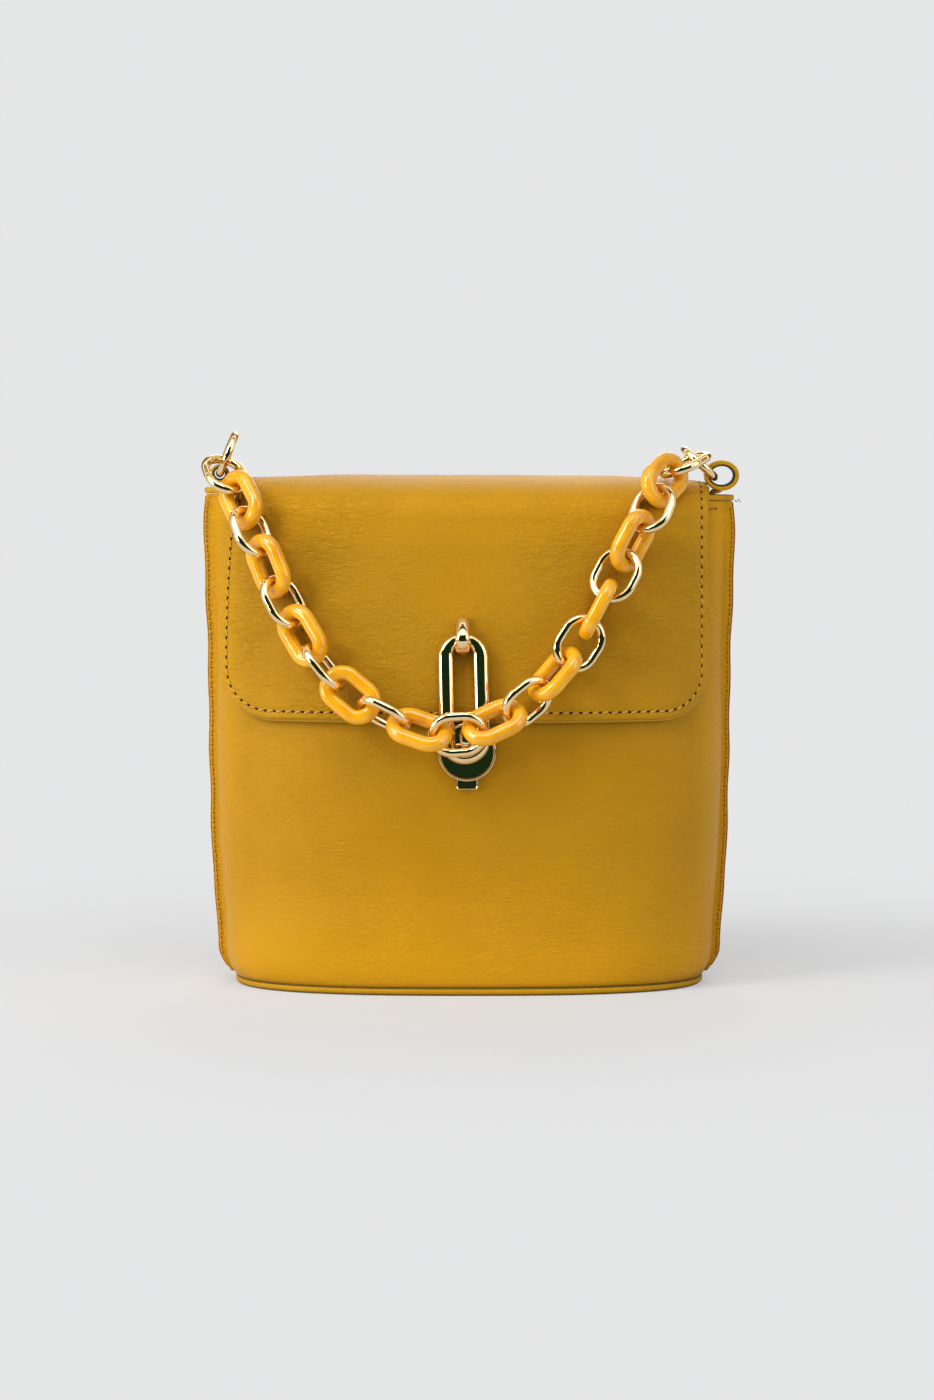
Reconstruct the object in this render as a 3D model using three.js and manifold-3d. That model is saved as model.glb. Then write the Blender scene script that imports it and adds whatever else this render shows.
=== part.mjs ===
// Small structured leather flap handbag with a short link chain, side rings and a hasp clasp.
// Millimetres, +Z up. Origin: centre of the resting face of the base. The front of the bag
// faces -Y, so its left is -X. Every piece is its own closed solid.
import * as THREE from 'three';
import { mergeVertices } from 'three/addons/utils/BufferGeometryUtils.js';
import Module from 'manifold-3d';

const wasm = await Module();
wasm.setup();
const { clamp, lerp } = THREE.MathUtils;

// ---------------------------------------------------------------- driving dimensions
const GAP = 0.3;                 // running gap between touching pieces

// body
const SEAM_HALF_GAP = 0.15;      // half of the gap between front and back panel at the side seam
const PANEL_T = 2.0;
const FLANGE_W = 3.3;            // outward side seam flange
const FLANGE_T = 1.6;            // one flange leaf
const FLANGE_BOTTOM_SHARE = 0.55; // share of the flange width left at the panel's lower edge
const PANEL_BOTTOM_Z = 3.3;
const MOUTH_Z = 195.2;           // top edge of the panels at the middle
const MOUTH_TILT = -0.013;       // the mouth drops a little to the right
const PANEL_OUTLINE_POINTS = 21;
// panel stations, as shares of the height from lower edge to mouth
const PANEL_LEVELS = [
  0, 0.025, 0.06, 0.13, 0.22, 0.34, 0.46, 0.57, 0.67, 0.76, 0.83, 0.895, 0.95, 1,
];

// body outline, each row [z, value]: half width without the seam flange, half depth,
// superellipse power
const HALF_W = [
  [0, 92], [8, 98], [26, 98.4], [52, 100.6], [93, 102], [138, 101.8], [186, 103.4], [200, 102.5],
];
const HALF_D = [
  [0, 47], [8, 49.3], [30, 50], [60, 48.5], [93, 45.5], [120, 42.2], [140, 39], [158, 35.2],
  [172, 30.6], [186, 25], [193, 19.8], [200, 16.2],
];
const POWER = [[0, 2.7], [60, 2.6], [120, 2.5], [165, 2.3], [200, 2.0]];

// lining
const LINING_T = 0.8;
const LINING_INSET = PANEL_T + 2.2 * GAP;
const LINING_LEVELS = [5.0, 9, 26, 60, 93, 120, 145, 170, 184, 192.6];
const LINING_TILT_Z = 100;       // above this height the lining takes up the tilt of the mouth

// mouth binding, heights above the mouth edge
const BINDING_H = 2.5;
const BINDING_ROUND = 0.7;

// base
const BASE_HALF_W = 94.5, BASE_HALF_D = 48.2, BASE_POWER = 2.7;
const WELT_W = 2.8, WELT_Z0 = 0.4, WELT_Z1 = 3.0;
const BASE_PANEL_T = 2.6;
const BOARD_HALF_W = 87.5, BOARD_HALF_D = 41.8, BOARD_T = 1.5;

// flap: same outline family, standing a little in front of the body; rows [z, value]
const FLAP_D = [
  [0, 47], [8, 49.3], [30, 50], [60, 48.5], [93, 45.5], [120, 42.2], [140, 39], [165, 34.4],
  [186, 30], [195, 28.2], [200, 27.5],
];
const FLAP_POWER = [[0, 2.7], [60, 2.6], [120, 2.5], [200, 2.4]];
const FLAP_OUTER_T = 1.4, FLAP_LINING_T = 0.9;
const FLAP_T = FLAP_OUTER_T + GAP + FLAP_LINING_T;
// gap in front of the body: at FLAP_GAP_Z, and its growth over the FLAP_GAP_RUN below
const FLAP_GAP_TOP = 0.8, FLAP_GAP_DROP = 0.85, FLAP_GAP_Z = 200, FLAP_GAP_RUN = 92;
// gap behind the body: on the right half, and its growth over the run to the left
const BACK_GAP = 0.6, BACK_GAP_GROWTH = 0.5, BACK_GAP_RUN = 90;
const FLAP_HALF_W = 95.6;
const FLAP_BOTTOM_Z = 109;
const FLAP_CORNER_R = 18;
const FLAP_SHOULDER_Z = 186, FLAP_SHOULDER_POWER = 2.3;
const FLAP_TOP_Z = 204.2;
// the top line falls away outside TOP_FLAT_X, by `drop` at `run` further out
const TOP_FLAT_X = 40;
const TOP_FALL_LEFT = { drop: 1.1, run: 55 }, TOP_FALL_RIGHT = { drop: 2.4, run: 52 };
// the left front edge stands FLARE further out: full at the edge, none at FLARE_X,
// and growing over FLARE_RUN below FLARE_Z
const FLARE = 2.8, FLARE_X = 84, FLARE_Z = 178, FLARE_RUN = 16;
const STRIP_BACK_Z = 168;        // lower edge of the sewn rear strip
const FLAP_INNER_XS = [13, 27, 40, 53, 66];             // stations right of the middle
const FLAP_EDGE_STEPS = [16.5, 12.5, 8.5, 4.5, 1.6, 0]; // stations measured in from the edge

// split between flap and rear strip: on the fold line, further forward at the corners
const FOLD_Y = -4.68;
const CORNER_SPLIT_Y = -12.8, CORNER_X0 = 81.5, CORNER_X1 = 85.5;
const SPLIT_HALF_GAP = 0.3;

// lock plate and turn knob
const LOCK_X = -0.9, LOCK_Z = 96.7, LOCK_R = 11.4;
const LOCK_BACK_Y = -46.6, LOCK_FRONT_Y = -48.9;
const LOCK_TAB_W = 8.8, LOCK_TAB_DROP = 3.4, LOCK_TAB_OVERLAP = 3, LOCK_TAB_SETBACK = 0.3;
const KNOB_Z = 102.8;
const KNOB = { halfW: 2.8, halfH: 4.1, thickness: 1.9, y: -55.6, power: 2.5 };
const STEM_R = 2.1, STEM_FRONT_Y = -54.8, STEM_BACK_Y = -35.4;
const PLATE_HOLE_R = STEM_R + GAP, PANEL_HOLE_R = 2.5;
const BACKPLATE = { radius: 9, frontY: -39.6, backY: -38.6, drop: 3 };
const RETAINER = { radius: 4.2, frontY: -37.2, backY: -35.6 };

// hasp loop: centreline size, side bars across, wire through and at the ends
const HASP_TOP = [-2.6, -46.6, 141.0], HASP_BOTTOM = [-1.6, -52.8, 94.9];
const HASP_L = 46.5, HASP_W = 13.8, HASP_BAR = 6.2, HASP_WIRE = 4.8;

// staple: heights of its two legs and half sizes of its oval wire
const STAPLE_X = HASP_TOP[0];
const STAPLE_LOW_Z = 136, STAPLE_HIGH_Z = 148.4;
const STAPLE_HALF_W = 2.6, STAPLE_HALF_T = 1.5;
// path as [y, z] offsets from where each leg meets the outer face of the flap
const STAPLE_LOW_PATH = [[3.3, 0], [-1.8, 0], [-5.4, 1.2], [-7.6, 5.6]];
const STAPLE_HIGH_PATH = [[-6.6, -2.6], [-2.6, 0], [3.3, 0]];
const STAPLE_HOLE_HALF_W = 3, STAPLE_HOLE_HALF_H = 2;
const WASHER_HALF_W = 4.6, WASHER_MARGIN = 3, WASHER_T = 0.5;

// chain: links alternate gold and resin; centreline length and width, round wire
const GOLD_LINK = { length: 20.4, width: 15.8, across: 3.5, through: 3.5 };
const RESIN_LINK = { length: 20.8, width: 12.4, across: 5.8, through: 5.8 };
// pose of each link: centre x y z, then quaternion x y z w (long axis is the link's local x)
const LINKS = [
  [-96.90, -16.33, 204.71, 0.121459, 0.291217, -0.536093, 0.782972],
  [-90.47, -26.28, 194.85, 0.632799, 0.022345, -0.552695, 0.541844],
  [-85.66, -34.39, 182.58, 0.141405, 0.450054, -0.376586, 0.797269],
  [-79.01, -38.34, 169.29, 0.738429, 0.161369, -0.536525, 0.375265],
  [-72.77, -41.75, 155.53, 0.250216, 0.444859, -0.272289, 0.815691],
  [-65.52, -45.63, 142.37, 0.717923, 0.118863, -0.486621, 0.483381],
  [-56.90, -50.66, 130.55, 0.054689, 0.409940, -0.152277, 0.897647],
  [-46.42, -53.81, 119.69, 0.589439, 0.178206, -0.305015, 0.726478],
  [-33.36, -56.97, 112.09, 0.935963, -0.049628, -0.239427, 0.253347],
  [-19.49, -61.17, 106.69, 0.332693, 0.094259, -0.173573, 0.922119],
  [-4.38, -61.78, 104.87, 0.829532, -0.009405, 0.027632, 0.557696],
  [9.84, -61.06, 109.64, 0.344965, -0.148285, 0.182384, 0.908706],
  [22.67, -56.71, 117.10, 0.827169, -0.044398, 0.338647, 0.446250],
  [33.44, -53.61, 127.77, 0.175026, -0.371322, 0.206534, 0.888161],
  [42.98, -50.27, 139.52, 0.666431, -0.229590, 0.420665, 0.571138],
  [50.43, -47.48, 152.81, -0.084216, -0.512707, 0.080096, 0.850661],
  [57.40, -43.37, 166.00, 0.410527, -0.359580, 0.382158, 0.745738],
  [64.30, -39.61, 179.31, 0.777640, -0.098756, 0.507367, 0.357914],
  [71.81, -34.71, 191.78, 0.220128, -0.386578, 0.434571, 0.783103],
  [77.33, -25.79, 202.78, 0.605065, 0.066557, 0.484491, 0.628280],
  [86.11, -14.43, 208.58, -0.025397, -0.184751, 0.422295, 0.887068],
];

// side rings: centre, lean from upright and yaw about Z, in radians
const RING_R = 8.2, RING_WIRE = 3.2;
const RING_LEFT = { centre: [-97.03, -4.27, 212.55], lean: 0.38200, yaw: 0.07310 };
const RING_RIGHT = { centre: [92.46, -2.77, 208.87], lean: -0.83945, yaw: 0.00018 };

// strap tabs: leather eyes for the rings, standing in the X-Z plane
const TAB_LEFT = { side: -1, x: -100.1, y: -4.0, z: 204.9, innerR: 2.4, outerR: 3.5, width: 4.4 };
const TAB_RIGHT = { side: 1, x: 100.2, y: -2.8, z: 204.3, innerR: 4.4, outerR: 5.9, width: 7.0 };
const TAIL_X0 = 95.7, TAIL_X1 = 97.6, TAIL_Z = 184, TAIL_Y0 = -2.7, TAIL_Y1 = 0.1;
const TAIL_BEND_Z0 = 198.6, TAIL_BEND_Z1 = 198.3;  // where the X0 and X1 faces turn to the eye

// ---------------------------------------------------------------- finishes
const LEATHER = { color: '#b8860f', roughness: 0.5, metalness: 0 };
const FLAP_LEATHER = { ...LEATHER, roughness: 0.45 };
const FLAP_LINING_LEATHER = { ...LEATHER, roughness: 0.6 };
const BASE_LEATHER = { ...LEATHER, roughness: 0.55 };
const LEATHER_EDGE = { ...LEATHER, color: '#8a5a14' };
const CLOTH = { color: '#1d1c22', roughness: 0.9, metalness: 0 };
const BOARD = { color: '#8c8578', roughness: 0.9, metalness: 0 };
const RESIN = { color: '#f0a21c', roughness: 0.25, metalness: 0 };
const GOLD = { color: '#e2c078', roughness: 0.12, metalness: 1 };
const LOCK_GOLD = { ...GOLD, roughness: 0.08 };
const STAPLE_GOLD = { ...GOLD, roughness: 0.15 };
const INSIDE_GOLD = { ...GOLD, roughness: 0.4 };

// ---------------------------------------------------------------- small helpers
const V = (x, y, z) => new THREE.Vector3(x, y, z);
const clamp01 = (value) => clamp(value, 0, 1);
const signedPower = (value, power) => Math.sign(value) * Math.abs(value) ** power;

// value of a [z, value] table at z, held constant beyond its ends
function valueAt(table, z) {
  const next = table.findIndex(([rowZ]) => z <= rowZ);
  if (next === 0) return table[0][1];
  if (next < 0) return table[table.length - 1][1];
  const [z0, value0] = table[next - 1];
  const [z1, value1] = table[next];
  return value0 + (value1 - value0) * (z - z0) / (z1 - z0);
}

// closed [u, v] outline; power 2 is an ellipse
function superellipse(halfU, halfV, power, count) {
  return Array.from({ length: count }, (_, k) => {
    const angle = 2 * Math.PI * k / count;
    return [
      halfU * signedPower(Math.cos(angle), 2 / power),
      halfV * signedPower(Math.sin(angle), 2 / power),
    ];
  });
}

// ---------------------------------------------------------------- mesh builders
// indexed geometry, turned outward by the sign of its volume
function geometryFrom(points, triangles) {
  let volume = 0;
  for (let i = 0; i < triangles.length; i += 3) {
    const [a, b, c] = triangles.slice(i, i + 3).map((id) => points[id]);
    volume += a.dot(b.clone().cross(c));
  }
  if (volume < 0) {
    for (let i = 0; i < triangles.length; i += 3) {
      [triangles[i], triangles[i + 1]] = [triangles[i + 1], triangles[i]];
    }
  }
  const geometry = new THREE.BufferGeometry().setFromPoints(points);
  geometry.setIndex(triangles);
  return geometry;
}

// solid between two grids of the same size
function slab(outer, inner) {
  const rows = outer.length, columns = outer[0].length;
  const triangles = [];
  const o = (i, j) => i * columns + j;
  const q = (i, j) => (rows + i) * columns + j;
  const quad = (a, b, c, d) => triangles.push(a, b, c, a, c, d);
  const lastRow = rows - 1, lastColumn = columns - 1;
  for (let i = 0; i < lastRow; i++) {
    for (let j = 0; j < lastColumn; j++) {
      quad(o(i, j), o(i + 1, j), o(i + 1, j + 1), o(i, j + 1));
      quad(q(i, j), q(i, j + 1), q(i + 1, j + 1), q(i + 1, j));
    }
  }
  for (let i = 0; i < lastRow; i++) {
    quad(o(i, 0), q(i, 0), q(i + 1, 0), o(i + 1, 0));
    quad(o(i, lastColumn), o(i + 1, lastColumn), q(i + 1, lastColumn), q(i, lastColumn));
  }
  for (let j = 0; j < lastColumn; j++) {
    quad(o(0, j), o(0, j + 1), q(0, j + 1), q(0, j));
    quad(o(lastRow, j), q(lastRow, j), q(lastRow, j + 1), o(lastRow, j + 1));
  }
  return geometryFrom([...outer.flat(), ...inner.flat()], triangles);
}

// triangles filling a flat outline, wound in the order of its points
function capTriangles(outline) {
  const points = outline.map(([u, v]) => new THREE.Vector2(u, v));
  if (THREE.ShapeUtils.area(points) >= 0) return THREE.ShapeUtils.triangulateShape(points, []);
  const last = points.length - 1;
  return THREE.ShapeUtils.triangulateShape(points.reverse(), [])
    .map(([a, b, c]) => [last - a, last - c, last - b]);
}

// skin over successive closed loops. With a cap outline both ends are closed flat;
// without one the last loop joins the first.
function loft(loops, capOutline) {
  const count = loops.length, size = loops[0].length;
  const triangles = [];
  const id = (i, j) => (i % count) * size + (j % size);
  for (let i = 0; i < (capOutline ? count - 1 : count); i++) {
    for (let j = 0; j < size; j++) {
      triangles.push(id(i, j), id(i + 1, j), id(i + 1, j + 1));
      triangles.push(id(i, j), id(i + 1, j + 1), id(i, j + 1));
    }
  }
  if (capOutline) {
    for (const [a, b, c] of capTriangles(capOutline)) {
      triangles.push(id(0, a), id(0, b), id(0, c));
      triangles.push(id(count - 1, a), id(count - 1, c), id(count - 1, b));
    }
  }
  return geometryFrom(loops.flat(), triangles);
}

// place a flat outline point in a plane at a given X, Y or Z
const atX = ([y, z], x) => V(x, y, z);
const atY = ([x, z], y) => V(x, y, z);
const atZ = ([x, y], z) => V(x, y, z);
const placed = (outline, place, distance) => outline.map((point) => place(point, distance));

function prism(outline, place, from, to) {
  return loft([placed(outline, place, from), placed(outline, place, to)], outline);
}

// prism with an open middle
function frame(outer, inner, place, from, to) {
  return loft([
    placed(outer, place, from), placed(outer, place, to),
    placed(inner, place, to), placed(inner, place, from),
  ]);
}

// cylinder along Y
function rodY(radius, y0, y1, x, z, segments = 20) {
  return new THREE.CylinderGeometry(radius, radius, y1 - y0, segments)
    .translate(x, (y0 + y1) / 2, z);
}

function box(x0, x1, y0, y1, z0, z1) {
  return new THREE.BoxGeometry(x1 - x0, y1 - y0, z1 - z0)
    .translate((x0 + x1) / 2, (y0 + y1) / 2, (z0 + z1) / 2);
}

// closed loop of oval wire on a stadium centreline in the X-Y plane, long axis X
function stadiumLoop({
  length, width, across, through, endAcross = across, pathSteps = 20, sectionSteps = 6,
}) {
  const radius = width / 2, straight = length / 2 - radius;
  const halfPath = 2 * straight + Math.PI * radius;
  const loops = [];
  for (let k = 0; k < pathSteps; k++) {
    // the second half of the path is the first turned by 180 degrees
    const distance = 2 * halfPath * (k + 0.5) / pathSteps;
    const turn = distance < halfPath ? 1 : -1;
    const along = turn > 0 ? distance : distance - halfPath;
    const angle = clamp((along - straight) / radius, 0, Math.PI);
    const outX = Math.sin(angle), outY = Math.cos(angle);
    const centreX = Math.min(along, straight, halfPath - along);
    const wire = lerp(across, endAcross, outX ** 1.2);
    loops.push(superellipse(wire / 2, through / 2, 2, sectionSteps).map(([u, v]) =>
      V(turn * (centreX + outX * (radius + u)), turn * outY * (radius + u), v)));
  }
  return loft(loops);
}

// position-only copy with coincident vertices merged
function clean(geometry) {
  const copy = geometry.clone();
  for (const key of Object.keys(copy.attributes)) {
    if (key !== 'position') copy.deleteAttribute(key);
  }
  return mergeVertices(copy, 1e-3);
}

function toSolid(geometry) {
  const source = clean(geometry);
  return new wasm.Manifold(new wasm.Mesh({
    numProp: 3,
    vertProperties: new Float32Array(source.attributes.position.array),
    triVerts: new Uint32Array(source.index.array),
  }));
}

function fromSolid(solid) {
  const mesh = solid.getMesh();
  const geometry = new THREE.BufferGeometry();
  geometry.setAttribute('position', new THREE.Float32BufferAttribute(mesh.vertProperties, 3));
  geometry.setIndex(Array.from(mesh.triVerts));
  return geometry;
}

const cut = (body, ...tools) =>
  fromSolid(tools.reduce((rest, tool) => rest.subtract(toSolid(tool)), toSolid(body)));
const join = (a, b) => fromSolid(toSolid(a).add(toSolid(b)));

// ---------------------------------------------------------------- body
const xyOf = (loop) => loop.map((point) => [point.x, point.y]);

// cutter for the knob stem's hole
const knobHole = (radius, segments) => rodY(radius, -60, -30, LOCK_X, KNOB_Z, segments);

// front half (y < 0) of the body outline from -x to +x, stopping where the depth is yMin
function halfOutline(z, inset, yMin) {
  const halfW = valueAt(HALF_W, z) - inset;
  const halfD = valueAt(HALF_D, z) - inset;
  const power = valueAt(POWER, z);
  const start = Math.asin(Math.min(1, (yMin / halfD) ** (power / 2)));
  return Array.from({ length: PANEL_OUTLINE_POINTS }, (_, k) => {
    const angle = lerp(start, Math.PI - start, k / (PANEL_OUTLINE_POINTS - 1));
    return [
      halfW * signedPower(-Math.cos(angle), 2 / power),
      -halfD * Math.sin(angle) ** (2 / power),
    ];
  });
}

// side 1 is the front panel, -1 the back
function panel(side) {
  const flangeY = -SEAM_HALF_GAP - FLANGE_T;
  const loops = PANEL_LEVELS.map((level) => {
    const z = lerp(PANEL_BOTTOM_Z, MOUTH_Z, level);
    const flange = FLANGE_W * (level === 0 ? FLANGE_BOTTOM_SHARE : 1);
    const edgeX = valueAt(HALF_W, z) + flange;
    const section = [
      [-edgeX, -SEAM_HALF_GAP], [-edgeX, flangeY],
      ...halfOutline(z, 0, SEAM_HALF_GAP + FLANGE_T),
      [edgeX, flangeY], [edgeX, -SEAM_HALF_GAP],
      ...halfOutline(z, PANEL_T, SEAM_HALF_GAP).reverse(),
    ];
    return section.map(([x, y]) => V(x, side * y, z + MOUTH_TILT * x * level));
  });
  return loft(loops, xyOf(loops[0]));
}

// thin open cup inside the panels
function lining() {
  const bottomZ = LINING_LEVELS[0], topZ = LINING_LEVELS[LINING_LEVELS.length - 1];
  const ring = (z, inset, lift = 0) => {
    const tilt = MOUTH_TILT * Math.max(0, (z - LINING_TILT_Z) / (topZ - LINING_TILT_Z));
    const halfW = valueAt(HALF_W, z) - inset, halfD = valueAt(HALF_D, z) - inset;
    return superellipse(halfW, halfD, valueAt(POWER, z), 32)
      .map(([x, y]) => V(x, y, z + lift + tilt * x));
  };
  const outside = LINING_LEVELS.map((z) => ring(z, LINING_INSET));
  const inside = LINING_LEVELS.map((z) =>
    ring(z, LINING_INSET + LINING_T, z === bottomZ ? LINING_T : 0));
  const cup = loft([...outside, ...inside.reverse()], xyOf(outside[0]));
  return cut(cup, knobHole(PANEL_HOLE_R));
}

// closed outline: superellipse whose two ends are drawn out to a narrow blunt tip
function lens(halfW, halfD, power, endX, endY) {
  const tipAngle = Math.asin((endY / halfD) ** (power / 2));
  const quarter = [];
  for (let k = 0; k <= 8; k++) {
    const angle = lerp(Math.PI / 2, tipAngle, k / 8);
    quarter.push([
      halfW * Math.max(Math.cos(angle), 0) ** (2 / power),
      halfD * Math.sin(angle) ** (2 / power),
    ]);
  }
  quarter.push([endX - 0.5, endY * 0.98], [endX, endY * 0.5]);
  const toMiddle = quarter.slice().reverse(), fromMiddle = quarter.slice(1);
  return [
    ...toMiddle,
    ...fromMiddle.map(([x, y]) => [-x, y]),
    ...toMiddle.map(([x, y]) => [-x, -y]),
    ...fromMiddle.map(([x, y]) => [x, -y]),
  ];
}

// rolled binding on the mouth edge
function mouthBinding() {
  const halfW = valueAt(HALF_W, MOUTH_Z), halfD = valueAt(HALF_D, MOUTH_Z);
  const power = valueAt(POWER, MOUTH_Z);
  const outer = lens(halfW - 0.2, halfD - 0.9, power, halfW + FLANGE_W + 0.4, 2.2);
  const inner = lens(halfW - 2.2, halfD - 2.2, power, halfW - 1.2, 1.2);
  // section as [share of the way from outer to inner outline, height above the mouth]
  const section = [
    [0, GAP + BINDING_ROUND], [0, BINDING_H - BINDING_ROUND],
    [0.22, BINDING_H], [0.78, BINDING_H],
    [1, BINDING_H - BINDING_ROUND], [1, GAP + BINDING_ROUND],
    [0.8, GAP], [0.2, GAP],
  ];
  return loft(section.map(([share, height]) => outer.map(([outerX, outerY], i) => {
    const x = lerp(outerX, inner[i][0], share);
    return V(x, lerp(outerY, inner[i][1], share), MOUTH_Z + MOUTH_TILT * x + height);
  })));
}

// ---------------------------------------------------------------- base
const baseOutline = (inset) =>
  superellipse(BASE_HALF_W - inset, BASE_HALF_D - inset, BASE_POWER, 48);

const basePanel = () => prism(baseOutline(WELT_W + GAP), atZ, 0, BASE_PANEL_T);

// strip round the base panel
const baseWelt = () => frame(baseOutline(0), baseOutline(WELT_W), atZ, WELT_Z0, WELT_Z1);

// stiffener on top of the base panel
function baseBoard() {
  const z0 = BASE_PANEL_T + GAP;
  return prism(superellipse(BOARD_HALF_W, BOARD_HALF_D, BASE_POWER, 36), atZ, z0, z0 + BOARD_T);
}

// ---------------------------------------------------------------- flap surface
function depthAt(x, z, depthTable) {
  const power = valueAt(FLAP_POWER, z);
  const share = Math.min(Math.abs(x) / valueAt(HALF_W, z), 1);
  return valueAt(depthTable, z) * (1 - share ** power) ** (1 / power);
}

// outer face of the flap on the front, and of its rear strip on the back
function flapY(x, z) {
  const gap = FLAP_GAP_TOP + FLAP_GAP_DROP * clamp01((FLAP_GAP_Z - z) / FLAP_GAP_RUN);
  return -depthAt(x, z, FLAP_D) - FLAP_T - gap;
}
function stripY(x, z) {
  const gap = BACK_GAP + BACK_GAP_GROWTH * clamp01(-x / BACK_GAP_RUN);
  return depthAt(x, z, HALF_D) + gap + FLAP_T;
}

function flapTopZ(x) {
  const fall = ({ drop, run }, outward) => drop * (Math.max(outward - TOP_FLAT_X, 0) / run) ** 2;
  return FLAP_TOP_Z - fall(TOP_FALL_LEFT, -x) - fall(TOP_FALL_RIGHT, x);
}

// [y, z] on the rounded top: t 0 at the shoulder height, 1 at the top
function shoulderPoint(x, t, shoulderY) {
  const angle = t * Math.PI / 2, power = 2 / FLAP_SHOULDER_POWER;
  const rise = flapTopZ(x) - FLAP_SHOULDER_Z;
  return [
    shoulderY * Math.max(Math.cos(angle), 0) ** power,
    FLAP_SHOULDER_Z + rise * Math.sin(angle) ** power,
  ];
}

// lower edge of the flap, with rounded corners
function flapBottom(x) {
  const fromEdge = Math.max(FLAP_HALF_W - Math.abs(x), 0);
  if (fromEdge >= FLAP_CORNER_R) return FLAP_BOTTOM_Z;
  const reach = FLAP_CORNER_R - fromEdge;
  return FLAP_BOTTOM_Z + FLAP_CORNER_R - Math.sqrt(FLAP_CORNER_R ** 2 - reach ** 2);
}

// dense [y, z] line at x, from the lower back edge over the top to the lower front edge
function flapProfile(x) {
  const line = [];
  for (let k = 0; k <= 6; k++) {
    const z = lerp(STRIP_BACK_Z, FLAP_SHOULDER_Z - 2, k / 6);
    line.push([stripY(x, z), z]);
  }
  const backY = stripY(x, FLAP_SHOULDER_Z), frontY = flapY(x, FLAP_SHOULDER_Z);
  for (let k = 0; k < 18; k++) line.push(shoulderPoint(x, k / 18, backY));
  for (let k = 18; k >= 0; k--) line.push(shoulderPoint(x, k / 18, frontY));
  for (let k = 1; k <= 40; k++) {
    const z = lerp(FLAP_SHOULDER_Z, flapBottom(x), k / 40);
    line.push([flapY(x, z), z]);
  }
  return line;
}

function splitY(x) {
  const t = clamp01((Math.abs(x) - CORNER_X0) / (CORNER_X1 - CORNER_X0));
  return lerp(FOLD_Y, CORNER_SPLIT_Y, t);
}

// the part of a profile in front of or behind y
function clipProfile(line, y, keepFront) {
  const next = line.findIndex((point) => point[0] < y);
  const [y0, z0] = line[next - 1];
  const [y1, z1] = line[next];
  const crossing = [y, lerp(z0, z1, (y - y0) / (y1 - y0))];
  return keepFront ? [crossing, ...line.slice(next)] : [...line.slice(0, next), crossing];
}

// points evenly spaced by arc length
function resample(line, count) {
  const lengths = [0];
  for (let i = 1; i < line.length; i++) {
    const step = Math.hypot(line[i][0] - line[i - 1][0], line[i][1] - line[i - 1][1]);
    lengths.push(lengths[i - 1] + step);
  }
  const total = lengths[lengths.length - 1];
  const points = [];
  let k = 0;
  for (let i = 0; i < count; i++) {
    const distance = total * i / (count - 1);
    while (k < line.length - 2 && lengths[k + 1] < distance) k++;
    const t = (distance - lengths[k]) / (lengths[k + 1] - lengths[k]);
    points.push([lerp(line[k][0], line[k + 1][0], t), lerp(line[k][1], line[k + 1][1], t)]);
  }
  return points;
}

function flaredX(x, y, z) {
  if (y >= 0) return x;
  const sideways = clamp01((-x - FLARE_X) / (FLAP_HALF_W - FLARE_X));
  return x - FLARE * sideways * clamp01((FLARE_Z - z) / FLARE_RUN);
}

// outer surface in front of or behind the split: rows run by x, columns along the profile
function flapGrid({ widen = 0, columns, splitOffset, keepFront }) {
  const right = [
    ...FLAP_INNER_XS,
    ...FLAP_EDGE_STEPS.map((step) => FLAP_HALF_W + widen - step),
  ];
  const stations = [...right.map((x) => -x).reverse(), 0, ...right];
  return stations.map((x) => {
    const line = clipProfile(flapProfile(x), splitY(x) + splitOffset, keepFront);
    return resample(line, columns).map(([y, z]) => V(flaredX(x, y, z), y, z));
  });
}

// solid between two depths below a flap surface
function layer(grid, depth0, depth1) {
  const outward = grid.map((row, i) => row.map((_, j) => {
    const before = grid[Math.max(i - 1, 0)][j];
    const after = grid[Math.min(i + 1, grid.length - 1)][j];
    const alongX = after.clone().sub(before);
    const alongProfile = row[Math.min(j + 1, row.length - 1)].clone().sub(row[Math.max(j - 1, 0)]);
    return alongProfile.cross(alongX).normalize();
  }));
  const sunk = (depth) => grid.map((row, i) =>
    row.map((point, j) => point.clone().addScaledVector(outward[i][j], -depth)));
  return slab(sunk(depth0), sunk(depth1));
}

// rear strip, cut clear of the flap's edge and the right strap eye
function flapRearStrip() {
  const strip = flapGrid({ columns: 12, splitOffset: SPLIT_HALF_GAP, keepFront: false });
  const flapZone = flapGrid({ widen: 1, columns: 15, splitOffset: 0.7, keepFront: true });
  const flapClearance = 0.6, eyeClearance = 0.4;
  const { x, y, z, outerR, width } = TAB_RIGHT;
  const reach = width / 2 + eyeClearance;
  return cut(
    layer(strip, 0, FLAP_T),
    layer(flapZone, -flapClearance, FLAP_T + flapClearance),
    rodY(outerR + eyeClearance, y - reach, y + reach, x, z, 32),
  );
}

// ---------------------------------------------------------------- clasp
// oval wire bail in the Y-Z plane: two legs through the flap, bridge outside
function haspStaple() {
  const leg = (path, legZ) =>
    path.map(([dy, dz]) => V(STAPLE_X, flapY(STAPLE_X, legZ) + dy, legZ + dz));
  const curve = new THREE.CatmullRomCurve3(
    [...leg(STAPLE_LOW_PATH, STAPLE_LOW_Z), ...leg(STAPLE_HIGH_PATH, STAPLE_HIGH_Z)],
    false,
    'centripetal',
  );
  const section = superellipse(STAPLE_HALF_W, STAPLE_HALF_T, 2, 8);
  const sideways = V(1, 0, 0), steps = 16;
  const loops = [];
  for (let i = 0; i <= steps; i++) {
    const centre = curve.getPointAt(i / steps);
    const through = curve.getTangentAt(i / steps).cross(sideways).normalize();
    loops.push(section.map(([u, v]) =>
      centre.clone().addScaledVector(sideways, u).addScaledVector(through, v)));
  }
  return loft(loops, section);
}

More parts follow.
